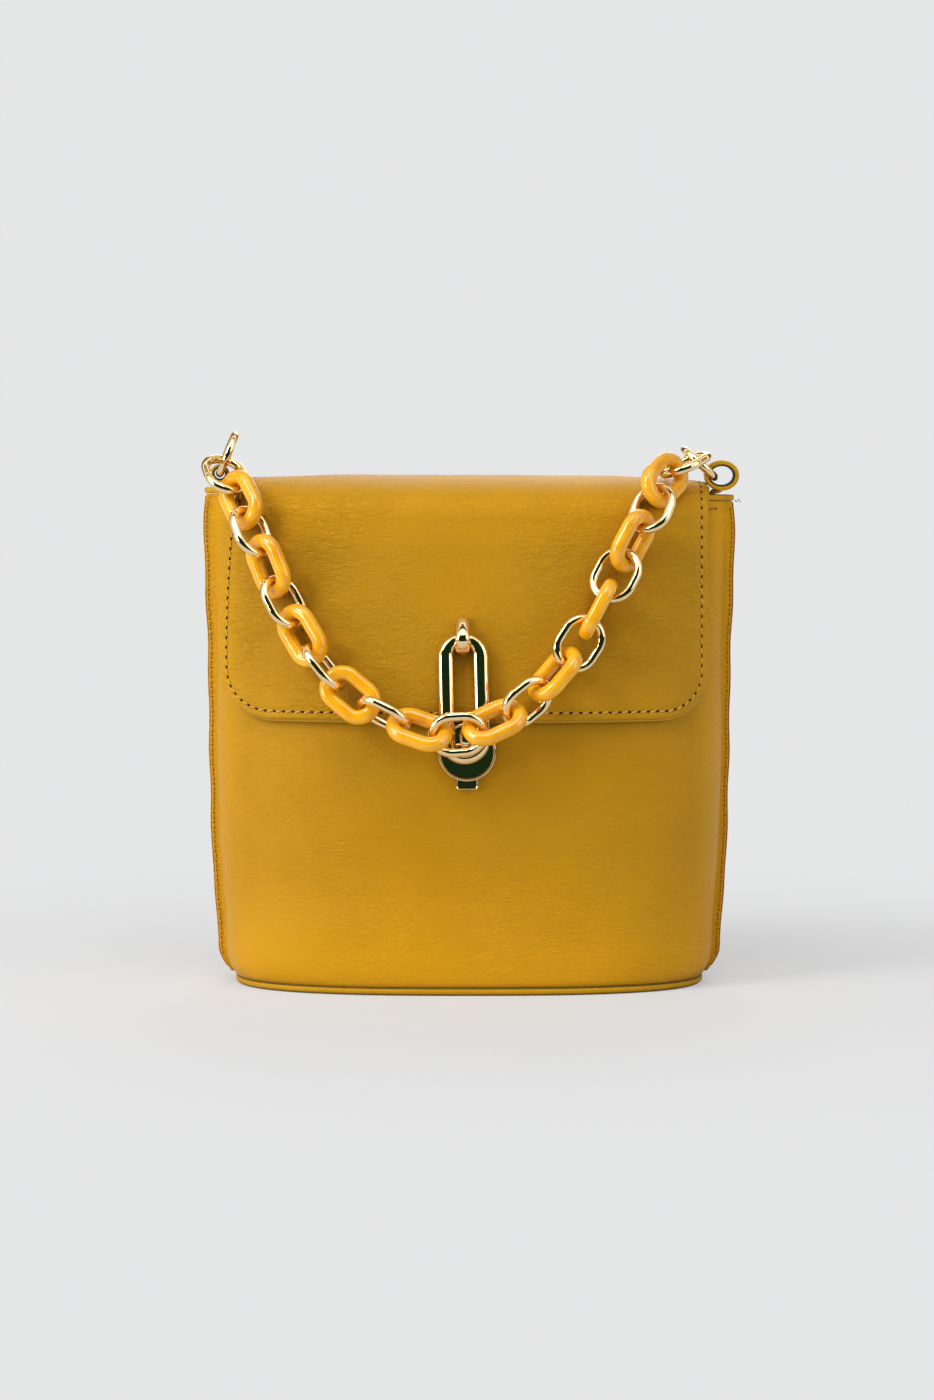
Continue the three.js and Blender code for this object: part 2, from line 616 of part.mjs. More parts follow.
// cutters for the two staple legs
function stapleHoles() {
  const faceY = flapY(STAPLE_X, (STAPLE_LOW_Z + STAPLE_HIGH_Z) / 2);
  return [STAPLE_LOW_Z, STAPLE_HIGH_Z].map((z) => box(
    STAPLE_X - STAPLE_HOLE_HALF_W, STAPLE_X + STAPLE_HOLE_HALF_W,
    faceY - 3, faceY + 7,
    z - STAPLE_HOLE_HALF_H, z + STAPLE_HOLE_HALF_H,
  ));
}

// plate on the inner face of the flap, round the staple legs
function stapleWasher() {
  const z0 = STAPLE_LOW_Z - WASHER_MARGIN, z1 = STAPLE_HIGH_Z + WASHER_MARGIN;
  const y0 = flapY(STAPLE_X, z0) + FLAP_T + GAP;
  const y1 = flapY(STAPLE_X, z1) + FLAP_T + GAP;
  const section = [[y0, z0], [y0 + WASHER_T, z0], [y1 + WASHER_T, z1], [y1, z1]];
  const blank = prism(section, atX, STAPLE_X - WASHER_HALF_W, STAPLE_X + WASHER_HALF_W);
  return cut(blank, ...stapleHoles());
}

function haspLoop() {
  const top = V(...HASP_TOP), bottom = V(...HASP_BOTTOM);
  const down = bottom.clone().sub(top).normalize();
  const sideways = down.clone().cross(V(0, -1, 0)).normalize();
  const pose = new THREE.Matrix4()
    .makeBasis(down, sideways, down.clone().cross(sideways))
    .setPosition(top.add(bottom).multiplyScalar(0.5));
  return stadiumLoop({
    length: HASP_L, width: HASP_W, across: HASP_BAR, through: HASP_WIRE,
    endAcross: HASP_WIRE, pathSteps: 36, sectionSteps: 8,
  }).applyMatrix4(pose);
}

// round plate with a small tab below
function lockPlate() {
  const disc = rodY(LOCK_R, LOCK_FRONT_Y, LOCK_BACK_Y, LOCK_X, LOCK_Z, 40);
  const discBottomZ = LOCK_Z - LOCK_R;
  const tab = box(
    LOCK_X - LOCK_TAB_W / 2, LOCK_X + LOCK_TAB_W / 2,
    LOCK_FRONT_Y + LOCK_TAB_SETBACK, LOCK_BACK_Y,
    discBottomZ - LOCK_TAB_DROP, discBottomZ + LOCK_TAB_OVERLAP,
  );
  return cut(join(disc, tab), knobHole(PLATE_HOLE_R));
}

// upright oval head on a round stem through the plate and panel
function turnKnob() {
  const { halfW, halfH, thickness, y, power } = KNOB;
  const outline = (scale) => superellipse(scale * halfW, scale * halfH, power, 24);
  // [outline scale, y from the middle of the head], from back to front
  const stations = [
    [0.9, thickness / 2], [1, thickness / 2 - 0.4],
    [1, -thickness / 2 + 0.7], [0.85, -thickness / 2],
  ];
  const loops = stations.map(([scale, dy]) => placed(outline(scale), atY, dy));
  const head = loft(loops, outline(1)).translate(LOCK_X, y, KNOB_Z);
  return join(head, rodY(STEM_R, STEM_FRONT_Y, STEM_BACK_Y, LOCK_X, KNOB_Z, 16));
}

// round plate behind the front panel
function lockBackplate() {
  const { radius, frontY, backY, drop } = BACKPLATE;
  return cut(rodY(radius, frontY, backY, LOCK_X, KNOB_Z - drop, 28), knobHole(PANEL_HOLE_R));
}

// hexagonal retainer on the stem
function knobRetainer() {
  const { radius, frontY, backY } = RETAINER;
  return cut(rodY(radius, frontY, backY, LOCK_X, KNOB_Z, 6), knobHole(PLATE_HOLE_R, 16));
}

// ---------------------------------------------------------------- strap tabs and rings
// round strap eye with a flat tail running down into the mouth
function strapTab({ side, x, y, z, innerR, outerR, width }) {
  const circle = (radius) => superellipse(radius, radius, 2, 22).map(([u, v]) => [x + u, z + v]);
  const eye = frame(circle(outerR), circle(innerR), atY, y - width / 2, y + width / 2);
  const joinZ = z - (innerR + outerR) / 2;
  const tail = [
    [side * TAIL_X0, TAIL_Z], [side * TAIL_X1, TAIL_Z], [side * TAIL_X1, TAIL_BEND_Z1],
    [x + side * 1.3, joinZ + 0.3], [x - side * 1.9, joinZ + 0.5],
    [side * TAIL_X0, TAIL_BEND_Z0],
  ];
  return join(eye, prism(tail, atY, TAIL_Y0, TAIL_Y1));
}

function tabRing({ centre, lean, yaw }) {
  const up = V(0, 0, 1);
  const axisA = V(0, 1, 0).applyAxisAngle(up, yaw);
  const axisB = V(Math.sin(lean), 0, Math.cos(lean)).applyAxisAngle(up, yaw);
  const pose = new THREE.Matrix4()
    .makeBasis(axisA, axisB, axisA.clone().cross(axisB))
    .setPosition(...centre);
  return stadiumLoop({
    length: 2 * RING_R, width: 2 * RING_R, across: RING_WIRE, through: RING_WIRE,
  }).applyMatrix4(pose);
}

// ---------------------------------------------------------------- assembly
const group = new THREE.Group();
group.name = 'flap_handbag';

function add(name, source, finish) {
  const geometry = clean(source);
  geometry.computeVertexNormals();
  const mesh = new THREE.Mesh(geometry, new THREE.MeshStandardMaterial(finish));
  mesh.name = name;
  group.add(mesh);
  return mesh;
}

add('front_panel', cut(panel(1), knobHole(PANEL_HOLE_R)), LEATHER);
add('back_panel', panel(-1), LEATHER);
add('lining', lining(), CLOTH);
add('mouth_binding', mouthBinding(), LEATHER);
add('base_panel', basePanel(), BASE_LEATHER);
add('base_welt', baseWelt(), LEATHER_EDGE);
add('base_board', baseBoard(), BOARD);

const flap = flapGrid({ columns: 15, splitOffset: -SPLIT_HALF_GAP, keepFront: true });
add('flap_outer', cut(layer(flap, 0, FLAP_OUTER_T), ...stapleHoles()), FLAP_LEATHER);
const flapLining = layer(flap, FLAP_OUTER_T + GAP, FLAP_T);
add('flap_lining', cut(flapLining, ...stapleHoles()), FLAP_LINING_LEATHER);
add('hasp_staple', haspStaple(), STAPLE_GOLD);
add('flap_rear_strip', flapRearStrip(), LEATHER);

add('hasp_loop', haspLoop(), GOLD);
add('lock_plate', lockPlate(), LOCK_GOLD);
add('turn_knob', turnKnob(), GOLD);
add('lock_backplate', lockBackplate(), INSIDE_GOLD);
add('knob_retainer', knobRetainer(), INSIDE_GOLD);
add('staple_washer', stapleWasher(), INSIDE_GOLD);

add('strap_tab_left', strapTab(TAB_LEFT), LEATHER);
add('strap_tab_right', strapTab(TAB_RIGHT), LEATHER);
add('tab_ring_left', tabRing(RING_LEFT), GOLD);
add('tab_ring_right', tabRing(RING_RIGHT), GOLD);

// chain, from the left ring round the front to the right; gold links count from 00, resin from 01
LINKS.forEach(([x, y, z, ...quaternion], i) => {
  const isGold = i % 2 === 0;
  const number = String(Math.ceil(i / 2)).padStart(2, '0');
  const link = isGold
    ? add(`link_gold_${number}`, stadiumLoop(GOLD_LINK), GOLD)
    : add(`link_resin_${number}`, stadiumLoop(RESIN_LINK), RESIN);
  link.position.set(x, y, z);
  link.quaternion.set(...quaternion);
});

export default group;
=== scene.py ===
# Looks of a small structured leather flap handbag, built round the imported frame.
# The bag stands on z = 0: +X is its width to the right, -Y its front, +Z up.
# Lengths are millimetres and make() turns them into metres; shaders and stage are in metres.
import math
import bpy
import bmesh
import numpy as np
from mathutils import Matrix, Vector, noise
from mathutils.kdtree import KDTree


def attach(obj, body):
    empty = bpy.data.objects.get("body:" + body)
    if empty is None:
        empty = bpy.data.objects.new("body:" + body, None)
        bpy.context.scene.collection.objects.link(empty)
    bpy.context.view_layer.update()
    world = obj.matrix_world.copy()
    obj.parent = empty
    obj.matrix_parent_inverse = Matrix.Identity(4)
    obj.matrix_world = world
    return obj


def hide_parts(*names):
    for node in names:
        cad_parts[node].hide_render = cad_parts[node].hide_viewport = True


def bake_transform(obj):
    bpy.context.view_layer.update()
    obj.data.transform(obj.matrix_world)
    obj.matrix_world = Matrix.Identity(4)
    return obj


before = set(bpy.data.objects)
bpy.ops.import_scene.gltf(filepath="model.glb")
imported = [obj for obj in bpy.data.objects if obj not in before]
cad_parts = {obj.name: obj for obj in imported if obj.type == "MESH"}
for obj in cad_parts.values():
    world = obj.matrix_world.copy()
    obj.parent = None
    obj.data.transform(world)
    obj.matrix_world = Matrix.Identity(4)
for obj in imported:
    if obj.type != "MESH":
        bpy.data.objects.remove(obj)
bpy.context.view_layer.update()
scene = bpy.context.scene

# ------------------------------------------------------------------ driving dimensions
# Body sections are superellipses. Each table row is (height, value).
HALF_W = [[0, 92], [8, 98], [26, 98.4], [52, 100.6], [93, 102], [138, 101.8], [186, 103.4],
          [200, 102.5]]
HALF_D = [[0, 47], [8, 49.3], [30, 50], [60, 48.5], [93, 45.5], [120, 42.2], [140, 39],
          [158, 35.2], [172, 30.6], [186, 25], [193, 19.8], [200, 16.2]]
POWER = [[0, 2.7], [60, 2.6], [120, 2.5], [165, 2.3], [200, 2.0]]
FLAP_POWER = [[0, 2.7], [60, 2.6], [120, 2.5], [200, 2.4]]
FLAP_D = [[0, 47], [8, 49.3], [30, 50], [60, 48.5], [93, 45.5], [120, 42.2], [140, 39],
          [165, 34.4], [186, 30], [195, 28.2], [200, 27.5]]
# How far the flap's left edge drifts outward (-X) on the front.
LEFT_DRIFT = [[108, 2.4], [120, 3.4], [134, 4.0], [155, 3.4], [178, 2.0], [192, 0.3], [204, 0.0]]

FOOT_Z = 3.3                          # lower edge of the body panels
MOUTH_Z, MOUTH_TILT = 195.2, -0.013   # panel top at x = 0, and its slope along X
FLANGE_W = 3.3                        # side seam allowance beyond the body
FLAP_T, FLAP_BOTTOM_Z, FLAP_CORNER_R, FLAP_HALF_W = 2.6, 109.0, 18.0, 95.6
SHOULDER_Z, SHOULDER_POWER = 186.0, 2.3   # where the flap starts to fold over, and how squarely
FLAP_TOP_Z, STRIP_BACK_Z = 204.2, 168.0   # top of the fold, lower edge at the back
# Flap pieces are given this blend between two bodies about these two points (metres); make() reads
# only that it is set, bakes their transform and leaves them unparented.
FLAP_BLEND = ("root", "flap", (0, 0.0045, 0.204), (0, -0.0138, 0.204))

X_AXIS, Y_AXIS, Z_AXIS = np.eye(3)


# ------------------------------------------------------------------ shape functions
def at_z(table, z, spread=7.0):
    """Table value at z, rounded off over +-spread so that surfaces have no kinks."""
    rows = np.array(table, float)
    z = np.asarray(z, float)
    offsets = np.linspace(-spread, spread, 9)
    weights = 1 - (offsets / (spread * 1.15)) ** 2
    total = sum(np.interp(z + offset, rows[:, 0], rows[:, 1]) * weight
                for offset, weight in zip(offsets, weights))
    return total / weights.sum()


def mouth_z(x):
    return MOUTH_Z + MOUTH_TILT * x


def tilted(x, z):
    """Panel height z with the tilt of the mouth fading out towards the foot."""
    return z + MOUTH_TILT * x * (z - FOOT_Z) / (MOUTH_Z - FOOT_Z)


def roof_z(x):
    """Top of the flap's fold, which droops at both ends."""
    left = 1.1 * (np.clip(-x - 40, 0, 60) / 55) ** 2
    right = 2.4 * (np.clip(x - 40, 0, 60) / 52) ** 2
    return FLAP_TOP_Z - left - right


def depth(x, z, half_depths, powers=FLAP_POWER):
    """Distance of the section's surface from the X-Z plane."""
    power = at_z(powers, z)
    across = np.clip(np.abs(x) / at_z(HALF_W, z), 0, 1)
    return at_z(half_depths, z) * (1 - across ** power) ** (1 / power)


def flap_y(x, z):
    """Outer face of the flap's front; its air gap widens downward."""
    gap = 0.8 + 0.85 * np.clip((200 - z) / 92, 0, 1)
    return -depth(x, z, FLAP_D) - FLAP_T - gap


def fractal(points, scale, octaves, seed):
    """Fractal noise at each point, about -1..1."""
    out = np.zeros(len(points))
    amp, total = 1.0, 0.0
    for k in range(octaves):
        out += amp * np.array([
            noise.noise(Vector((x / scale + seed, y / scale + 7.3 * k, z / scale - seed)))
            for x, y, z in points])
        total += amp
        amp *= 0.5
        scale *= 0.5
    return out / total


# ------------------------------------------------------------------ mesh helpers
def make(name, mesh, material, body="root", cad=(), blend=None):
    """Smooth object from (verts, faces) in mm, parented to the empty of its body, or with its
    transform baked when blend is given.
    """
    verts, faces = mesh
    data = bpy.data.meshes.new(name)
    data.from_pydata((np.asarray(verts, float).reshape(-1, 3) * 0.001).tolist(), [],
                     [list(map(int, face)) for face in faces])
    bm = bmesh.new()
    bm.from_mesh(data)
    bmesh.ops.remove_doubles(bm, verts=bm.verts, dist=1e-7)
    bmesh.ops.recalc_face_normals(bm, faces=bm.faces)
    bm.to_mesh(data)
    bm.free()
    data.polygons.foreach_set("use_smooth", [True] * len(data.polygons))
    data.materials.append(material)
    data.update()
    obj = bpy.data.objects.new(name, data)
    scene.collection.objects.link(obj)
    if cad:
        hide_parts(*cad)
    if blend:
        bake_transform(obj)
    else:
        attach(obj, body)


def grid_faces(rows, cols, start=0, wrap_cols=False, wrap_rows=False):
    faces = []
    for i in range(rows if wrap_rows else rows - 1):
        this_row, next_row = start + i * cols, start + ((i + 1) % rows) * cols
        for j in range(cols if wrap_cols else cols - 1):
            k = (j + 1) % cols
            faces.append((this_row + j, this_row + k, next_row + k, next_row + j))
    return faces


def loft(loops):
    """Solid through closed loops of equal count, capped at both ends."""
    loops = np.array(loops)
    rows, cols = loops.shape[:2]
    caps = [tuple(range(cols)), tuple(range((rows - 1) * cols, rows * cols))[::-1]]
    return loops.reshape(-1, 3), grid_faces(rows, cols, wrap_cols=True) + caps


def slab(outer, inner):
    """Solid between two point grids, closed along their border."""
    rows, cols, _ = outer.shape
    count = rows * cols
    faces = grid_faces(rows, cols) + [quad[::-1] for quad in grid_faces(rows, cols, count)]
    rim = list(range(cols))
    rim += [i * cols + cols - 1 for i in range(1, rows)]
    rim += [(rows - 1) * cols + j for j in range(cols - 2, -1, -1)]
    rim += [i * cols for i in range(rows - 2, 0, -1)]
    for here, there in zip(rim, rim[1:] + rim[:1]):
        faces.append((here, here + count, there + count, there))
    return np.vstack([outer.reshape(-1, 3), inner.reshape(-1, 3)]), faces


def tangents(path, closed):
    if closed:
        along = np.roll(path, -1, 0) - np.roll(path, 1, 0)
    else:
        along = np.gradient(path, axis=0)
    return along / np.linalg.norm(along, axis=1)[:, None]


def sweep(path, across, section, closed=True):
    """Section (u along across x tangent, v along across), one or one per path point."""
    normal = np.cross(across, tangents(path, closed))
    normal /= np.linalg.norm(normal, axis=1)[:, None]
    verts = path[:, None] + normal[:, None] * section[..., :1] + across * section[..., 1:]
    if not closed:
        return loft(verts)
    rows, cols = verts.shape[:2]
    return verts.reshape(-1, 3), grid_faces(rows, cols, wrap_cols=True, wrap_rows=True)


def oval(half_a, half_b, power=2.0, count=20):
    angle = np.linspace(0, 2 * np.pi, count, endpoint=False)
    c, s = np.cos(angle), np.sin(angle)
    return np.stack([half_a * np.sign(c) * np.abs(c) ** (2 / power),
                     half_b * np.sign(s) * np.abs(s) ** (2 / power)], 1)


def even_oval(half_a, half_b, power, count):
    return resample(oval(half_a, half_b, power, count), count=count, closed=True)


def stadium(length, width, count):
    """Two half circles joined by straights, with evenly spaced points."""
    radius = width / 2
    straight = length / 2 - radius
    turn = math.pi * radius
    total = 4 * straight + 2 * turn
    points = []
    for d in (np.arange(count) + 0.5) * total / count:
        if d < straight:
            points.append((d, radius))
        elif d < straight + turn:
            angle = (d - straight) / radius
            points.append((straight + radius * math.sin(angle), radius * math.cos(angle)))
        elif d < 3 * straight + turn:
            points.append((2 * straight + turn - d, -radius))
        elif d < 3 * straight + 2 * turn:
            angle = (d - 3 * straight - turn) / radius
            points.append((-straight - radius * math.sin(angle), -radius * math.cos(angle)))
        else:
            points.append((d - 4 * straight - 2 * turn, radius))
    return np.array(points)


def at_height(outline, z):
    """2D outline as 3D points in the X-Y plane at z (one value or one per point)."""
    return np.c_[outline, np.full(len(outline), z)]


def upright(outline, x, y, z):
    """2D outline as 3D points facing the front, centred on x, y, z."""
    return np.stack([outline[:, 0] + x, np.full(len(outline), y), outline[:, 1] + z], 1)


def place(mesh, rotation, centre):
    verts, faces = mesh
    return verts @ rotation.T + np.asarray(centre, float), faces


def run_length(points):
    return np.r_[0, np.cumsum(np.linalg.norm(np.diff(points, axis=0), axis=1))]


def resample(points, step=None, count=None, closed=False):
    points = np.asarray(points, float)
    if closed:
        points = np.vstack([points, points[:1]])
    run = run_length(points)
    count = count or max(2, int(round(run[-1] / step)) + 1)
    wanted = np.linspace(0, run[-1], count, endpoint=not closed)
    return np.stack([np.interp(wanted, run, column) for column in points.T], 1)


def catmull(points, per_span):
    """Smooth curve through the points."""
    points = np.array(points, float)
    padded = np.vstack([2 * points[0] - points[1], points, 2 * points[-1] - points[-2]])
    out = []
    for before, start, end, after in zip(padded, padded[1:], padded[2:], padded[3:]):
        for t in np.linspace(0, 1, per_span, endpoint=False):
            out.append(0.5 * (2 * start + (end - before) * t
                              + (2 * before - 5 * start + 4 * end - after) * t ** 2
                              + (3 * start - before - 3 * end + after) * t ** 3))
    out.append(points[-1])
    return np.array(out)


def outline_normals(outline):
    """Unit normals to the right of the direction of travel."""
    along = np.gradient(outline, axis=0)
    normals = np.stack([along[:, 1], -along[:, 0]], 1)
    return normals / np.linalg.norm(normals, axis=1)[:, None]


# ------------------------------------------------------------------ shader helpers
def rgb(code):
    """Linear RGBA from '#RRGGBB'."""
    channels = (int(code[i:i + 2], 16) / 255 for i in (1, 3, 5))
    return tuple(c / 12.92 if c <= 0.04045 else ((c + 0.055) / 1.055) ** 2.4
                 for c in channels) + (1,)


def shade(colour, factor, lift=0.0):
    return tuple(min(1, c * factor + lift) for c in colour[:3]) + (1,)


def add_node(tree, kind, inputs=None, **settings):
    """New node; an input value is either a number or an output socket to link."""
    node = tree.nodes.new(kind)
    for key, value in settings.items():
        setattr(node, key, value)
    for key, value in (inputs or {}).items():
        plug(tree, node.inputs[key], value)
    return node


def plug(tree, socket, value):
    if hasattr(value, "is_output"):
        tree.links.new(value, socket)
    else:
        socket.default_value = value


class Shader:
    """Material with short calls for the nodes used below; patterns are in object metres."""

    def __init__(self, name):
        self.material = bpy.data.materials.new(name)
        self.material.use_nodes = True
        self.tree = self.material.node_tree
        self.bsdf = self.tree.nodes["Principled BSDF"]
        self.coords = self.add("ShaderNodeTexCoord").outputs["Object"]

    def add(self, kind, inputs=None, **settings):
        return add_node(self.tree, kind, inputs, **settings)

    def mapping(self, scale=(1, 1, 1), rot=(0, 0, 0)):
        return self.add("ShaderNodeMapping", {"Vector": self.coords, "Scale": scale,
                                              "Rotation": rot}).outputs["Vector"]

    def noise(self, scale, detail=2, rough=0.5, vec=None, dist=0.0):
        return self.add("ShaderNodeTexNoise", {
            "Vector": vec or self.coords, "Scale": scale, "Detail": detail,
            "Roughness": rough, "Distortion": dist}).outputs["Fac"]

    def wave(self, scale, rot, dist=0.0):
        return self.add("ShaderNodeTexWave", {"Vector": self.mapping(rot=rot), "Scale": scale,
                                              "Distortion": dist}).outputs["Fac"]

    def ramp(self, fac, stops):
        """Colour ramp of (position, RGB or RGBA) stops."""
        node = self.add("ShaderNodeValToRGB", {"Fac": fac})
        elements = node.color_ramp.elements
        while len(elements) < len(stops):
            elements.new(0.5)
        for element, (position, colour) in zip(elements, stops):
            element.position = position
            element.color = colour if len(colour) == 4 else tuple(colour) + (1,)
        return node.outputs["Color"]

    def mask(self, fac, low, high):
        """Black at low to white at high."""
        return self.ramp(fac, [(low, (0, 0, 0)), (high, (1, 1, 1))])

    def math(self, operation, a, b=0.0):
        return self.add("ShaderNodeMath", {0: a, 1: b, 2: 0.0}, operation=operation).outputs[0]

    def times(self, value, factor):
        return self.math("MULTIPLY", value, factor)

    def vary(self, value, amount, base):
        """base + value * amount."""
        return self.math("ADD", self.times(value, amount), base)

    def mix(self, fac, a, b, mode="MIX"):
        return self.add("ShaderNodeMix", {0: fac, 6: a, 7: b}, data_type="RGBA",
                        blend_type=mode).outputs[2]

    def mix_shaders(self, fac, a, b):
        return self.add("ShaderNodeMixShader", {0: fac, 1: a, 2: b}).outputs[0]

    def bump(self, height, strength, distance, normal=None):
        inputs = {"Strength": strength, "Distance": distance, "Height": height}
        if normal is not None:
            inputs["Normal"] = normal
        return self.add("ShaderNodeBump", inputs).outputs["Normal"]

    def set(self, **inputs):
        """Set or link inputs of the Principled node; underscores stand for spaces."""
        for key, value in inputs.items():
            plug(self.tree, self.bsdf.inputs[key.replace("_", " ")], value)


# ------------------------------------------------------------------ materials
# Painted light and shade by height in metres: palest at the base, deepest high on the body.
PAINTED_LIGHT_TOP = 0.21
PAINTED_LIGHT_BY_HEIGHT = ((0.0, 1.20), (0.016, 1.17), (0.032, 1.05), (0.056, 0.90), (0.085, 0.87), (0.115, 0.84),
        (0.15, 0.80), (0.174, 0.80), (0.188, 0.93), (0.200, 1.05))
# Painted light on the sides: the colour turns paler towards both ends of the width.
PAINTED_SIDE_LIGHT_START, PAINTED_SIDE_LIGHT_FADE = 0.088, 80     # |x| where the paler sides start, and 1 / fade width
PAINTED_SIDE_LIGHT = (1.10, 1.10, 1.08, 1)


def paint_light_and_shade(mat, colour):
    """Multiply the colour by painted light and shade for its height, and by painted light near the
    sides.
    """
    xyz = mat.add("ShaderNodeSeparateXYZ", {0: mat.coords})
    height = mat.times(xyz.outputs["Z"], 1 / PAINTED_LIGHT_TOP)
    side = mat.math("SUBTRACT", mat.math("ABSOLUTE", xyz.outputs["X"]), PAINTED_SIDE_LIGHT_START)
    side = mat.math("MINIMUM", mat.math("MAXIMUM", mat.times(side, PAINTED_SIDE_LIGHT_FADE), 0.0), 1.0)
    stops = [(z / PAINTED_LIGHT_TOP, (k, k, k * 0.98)) for z, k in PAINTED_LIGHT_BY_HEIGHT]
    return mat.mix(1.0, colour, mat.mix(side, mat.ramp(height, stops), PAINTED_SIDE_LIGHT),
                   mode="MULTIPLY")


def leather(name, base, grain=1.0, rough=0.44, crease=1.0, painted_light=False):
    mat = Shader(name)
    base = rgb(base)
    light = shade(base, 1.07)
    # broad cloudiness and fine pale specks
    broad = mat.noise(scale=14, detail=3, rough=0.6, dist=0.6)
    colour = mat.ramp(broad, [(0.30, shade(base, 0.93)), (0.52, base), (0.75, light)])
    specks = mat.mask(mat.noise(scale=900, rough=0.6), low=0.42, high=0.62)
    colour = mat.mix(mat.times(specks, factor=0.10), colour, light)
    # painted light and shade: darker high on the body, paler at the base and at the sides
    if painted_light:
        colour = paint_light_and_shade(mat, colour)
    # painted shade: narrow gaps and spots close under other parts go darker and browner
    painted_gap_shade = mat.add("ShaderNodeAmbientOcclusion", {"Distance": 0.014}, samples=4)
    near = mat.ramp(painted_gap_shade.outputs["AO"], [(0.10, (0.24, 0.19, 0.12)),
                                              (0.32, (0.58, 0.53, 0.45)), (0.53, (1, 1, 1))])
    colour = mat.mix(1.0, colour, near, mode="MULTIPLY")
    # slanting creases in patches, then grain cells with pores
    streaks = mat.noise(scale=1.0, detail=4, rough=0.62, dist=0.9, vec=mat.mapping(
        scale=(240, 240, 700), rot=(0, math.radians(-33), 0)))
    folds = mat.ramp(streaks, [(0.40, (0, 0, 0)), (0.56, (1, 1, 1)), (0.70, (0.35, 0.35, 0.35))])
    patches = mat.ramp(mat.noise(scale=16), [(0.36, (0.12, 0.12, 0.12)), (0.66, (1, 1, 1))])
    cells = mat.add("ShaderNodeTexVoronoi", {"Vector": mat.coords, "Scale": 1250},
                    feature="DISTANCE_TO_EDGE").outputs["Distance"]
    cells = mat.mask(cells, low=0.0, high=0.22)
    pores = mat.noise(scale=2600)
    texture = mat.math("ADD", mat.times(cells, factor=0.55), mat.times(pores, factor=0.5))
    normal = mat.bump(texture, strength=0.42 * grain, distance=0.00026)
    normal = mat.bump(mat.times(folds, patches), strength=0.48 * crease, distance=0.0006,
                      normal=normal)
    normal = mat.bump(mat.noise(scale=60, detail=3, dist=0.5), strength=0.10, distance=0.0016,
                      normal=normal)
    roughness = mat.vary(mat.noise(scale=420, detail=3, rough=0.6), amount=0.16,
                         base=rough - 0.08)
    mat.set(Base_Color=colour, Roughness=roughness, Normal=normal, Specular_IOR_Level=0.34,
            Specular_Tint=(1.0, 0.80, 0.42, 1), Sheen_Tint=light)
    return mat.material


def edge_paint(name, base, rough):
    mat = Shader(name)
    base = rgb(base)
    colour = mat.ramp(mat.noise(scale=700, detail=3, rough=0.6),
                      [(0.34, shade(base, 0.5)), (0.5, base), (0.75, shade(base, 1.15))])
    mat.set(Base_Color=colour, Roughness=rough,
            Normal=mat.bump(mat.noise(scale=1800), strength=0.25, distance=0.00015))
    return mat.material


def gold(name, base="#F1D5A2", rough=0.055, brushed=0.0):
    mat = Shader(name)
    base = rgb(base)
    colour = mat.mix(mat.mask(mat.noise(scale=90), low=0.3, high=0.7), base, shade(base, 1.06))
    scratches = mat.noise(scale=1.0, detail=3, rough=0.7, vec=mat.mapping(
        scale=(300, 3200, 300), rot=(0.4, 0.2, 0.5)))
    roughness = mat.vary(mat.mask(scratches, low=0.55, high=0.8), amount=0.07 + brushed,
                         base=rough)
    mat.set(Base_Color=colour, Metallic=1.0, Roughness=roughness,
            Normal=mat.bump(mat.noise(scale=150), strength=0.006, distance=0.0006))
    return mat.material


def resin(name):
    mat = Shader(name)
    cloud = mat.noise(scale=95, detail=3, rough=0.55, dist=1.2)
    colour = mat.ramp(cloud, [(0.28, rgb("#EC9E02")), (0.5, rgb("#F6AE08")),
                              (0.74, rgb("#FCBC1A"))])
    swirl = mat.noise(scale=1.0, detail=3, dist=1.5, vec=mat.mapping(
        scale=(70, 260, 120), rot=(0.3, 0.9, 0.2)))
    swirl = mat.times(mat.mask(swirl, low=0.5, high=0.72), factor=0.20)
    colour = mat.mix(swirl, colour, rgb("#FFC62E"))
    mat.set(Base_Color=colour,
            Roughness=mat.vary(mat.noise(scale=300), amount=0.08, base=0.14),
            Normal=mat.bump(mat.noise(scale=220), strength=0.03, distance=0.0006),
            Subsurface_Weight=0.15, Subsurface_Radius=(1.0, 0.75, 0.15),
            Subsurface_Scale=0.0025, Coat_Weight=0.55, Coat_Roughness=0.10)
    return mat.material


def thread(name, base):
    mat = Shader(name)
    base = rgb(base)
    twist = mat.wave(scale=1400, rot=(0.5, 0.6, 0.7))
    mat.set(Base_Color=mat.mix(mat.times(twist, factor=0.5), base, shade(base, 0.62)),
            Roughness=0.62, Normal=mat.bump(twist, strength=0.4, distance=0.00012))
    return mat.material


def cloth(name, base):
    mat = Shader(name)
    base = rgb(base)
    twill = mat.wave(scale=900, rot=(0, math.radians(40), 0), dist=1.2)
    pale = shade(base, 2.0, lift=0.004)
    mat.set(Base_Color=mat.mix(mat.times(twill, factor=0.6), base, pale), Roughness=0.85,
            Normal=mat.bump(twill, strength=0.5, distance=0.0002), Sheen_Weight=0.25)
    return mat.material


def plain(name, base, rough):
    mat = Shader(name)
    base = rgb(base)
    colour = mat.ramp(mat.noise(scale=500, detail=3, rough=0.6),
                      [(0.35, shade(base, 0.7)), (0.65, base)])
    mat.set(Base_Color=colour, Roughness=rough,
            Normal=mat.bump(mat.noise(scale=1000), strength=0.2, distance=0.0002))
    return mat.material


# The body and flap leathers carry painted light and shade by height and at the sides.
LEATHER = leather("mustard_leather", "#C89006", painted_light=True)
LEATHER_FLAP = leather("mustard_leather_flap", "#CA9207", crease=1.25, painted_light=True)
LEATHER_SOFT = leather("mustard_leather_trim", "#CA960E", grain=0.8, crease=0.5)
BACKING = leather("flap_backing_leather", "#C8962A", grain=1.3, rough=0.55, crease=0.3)
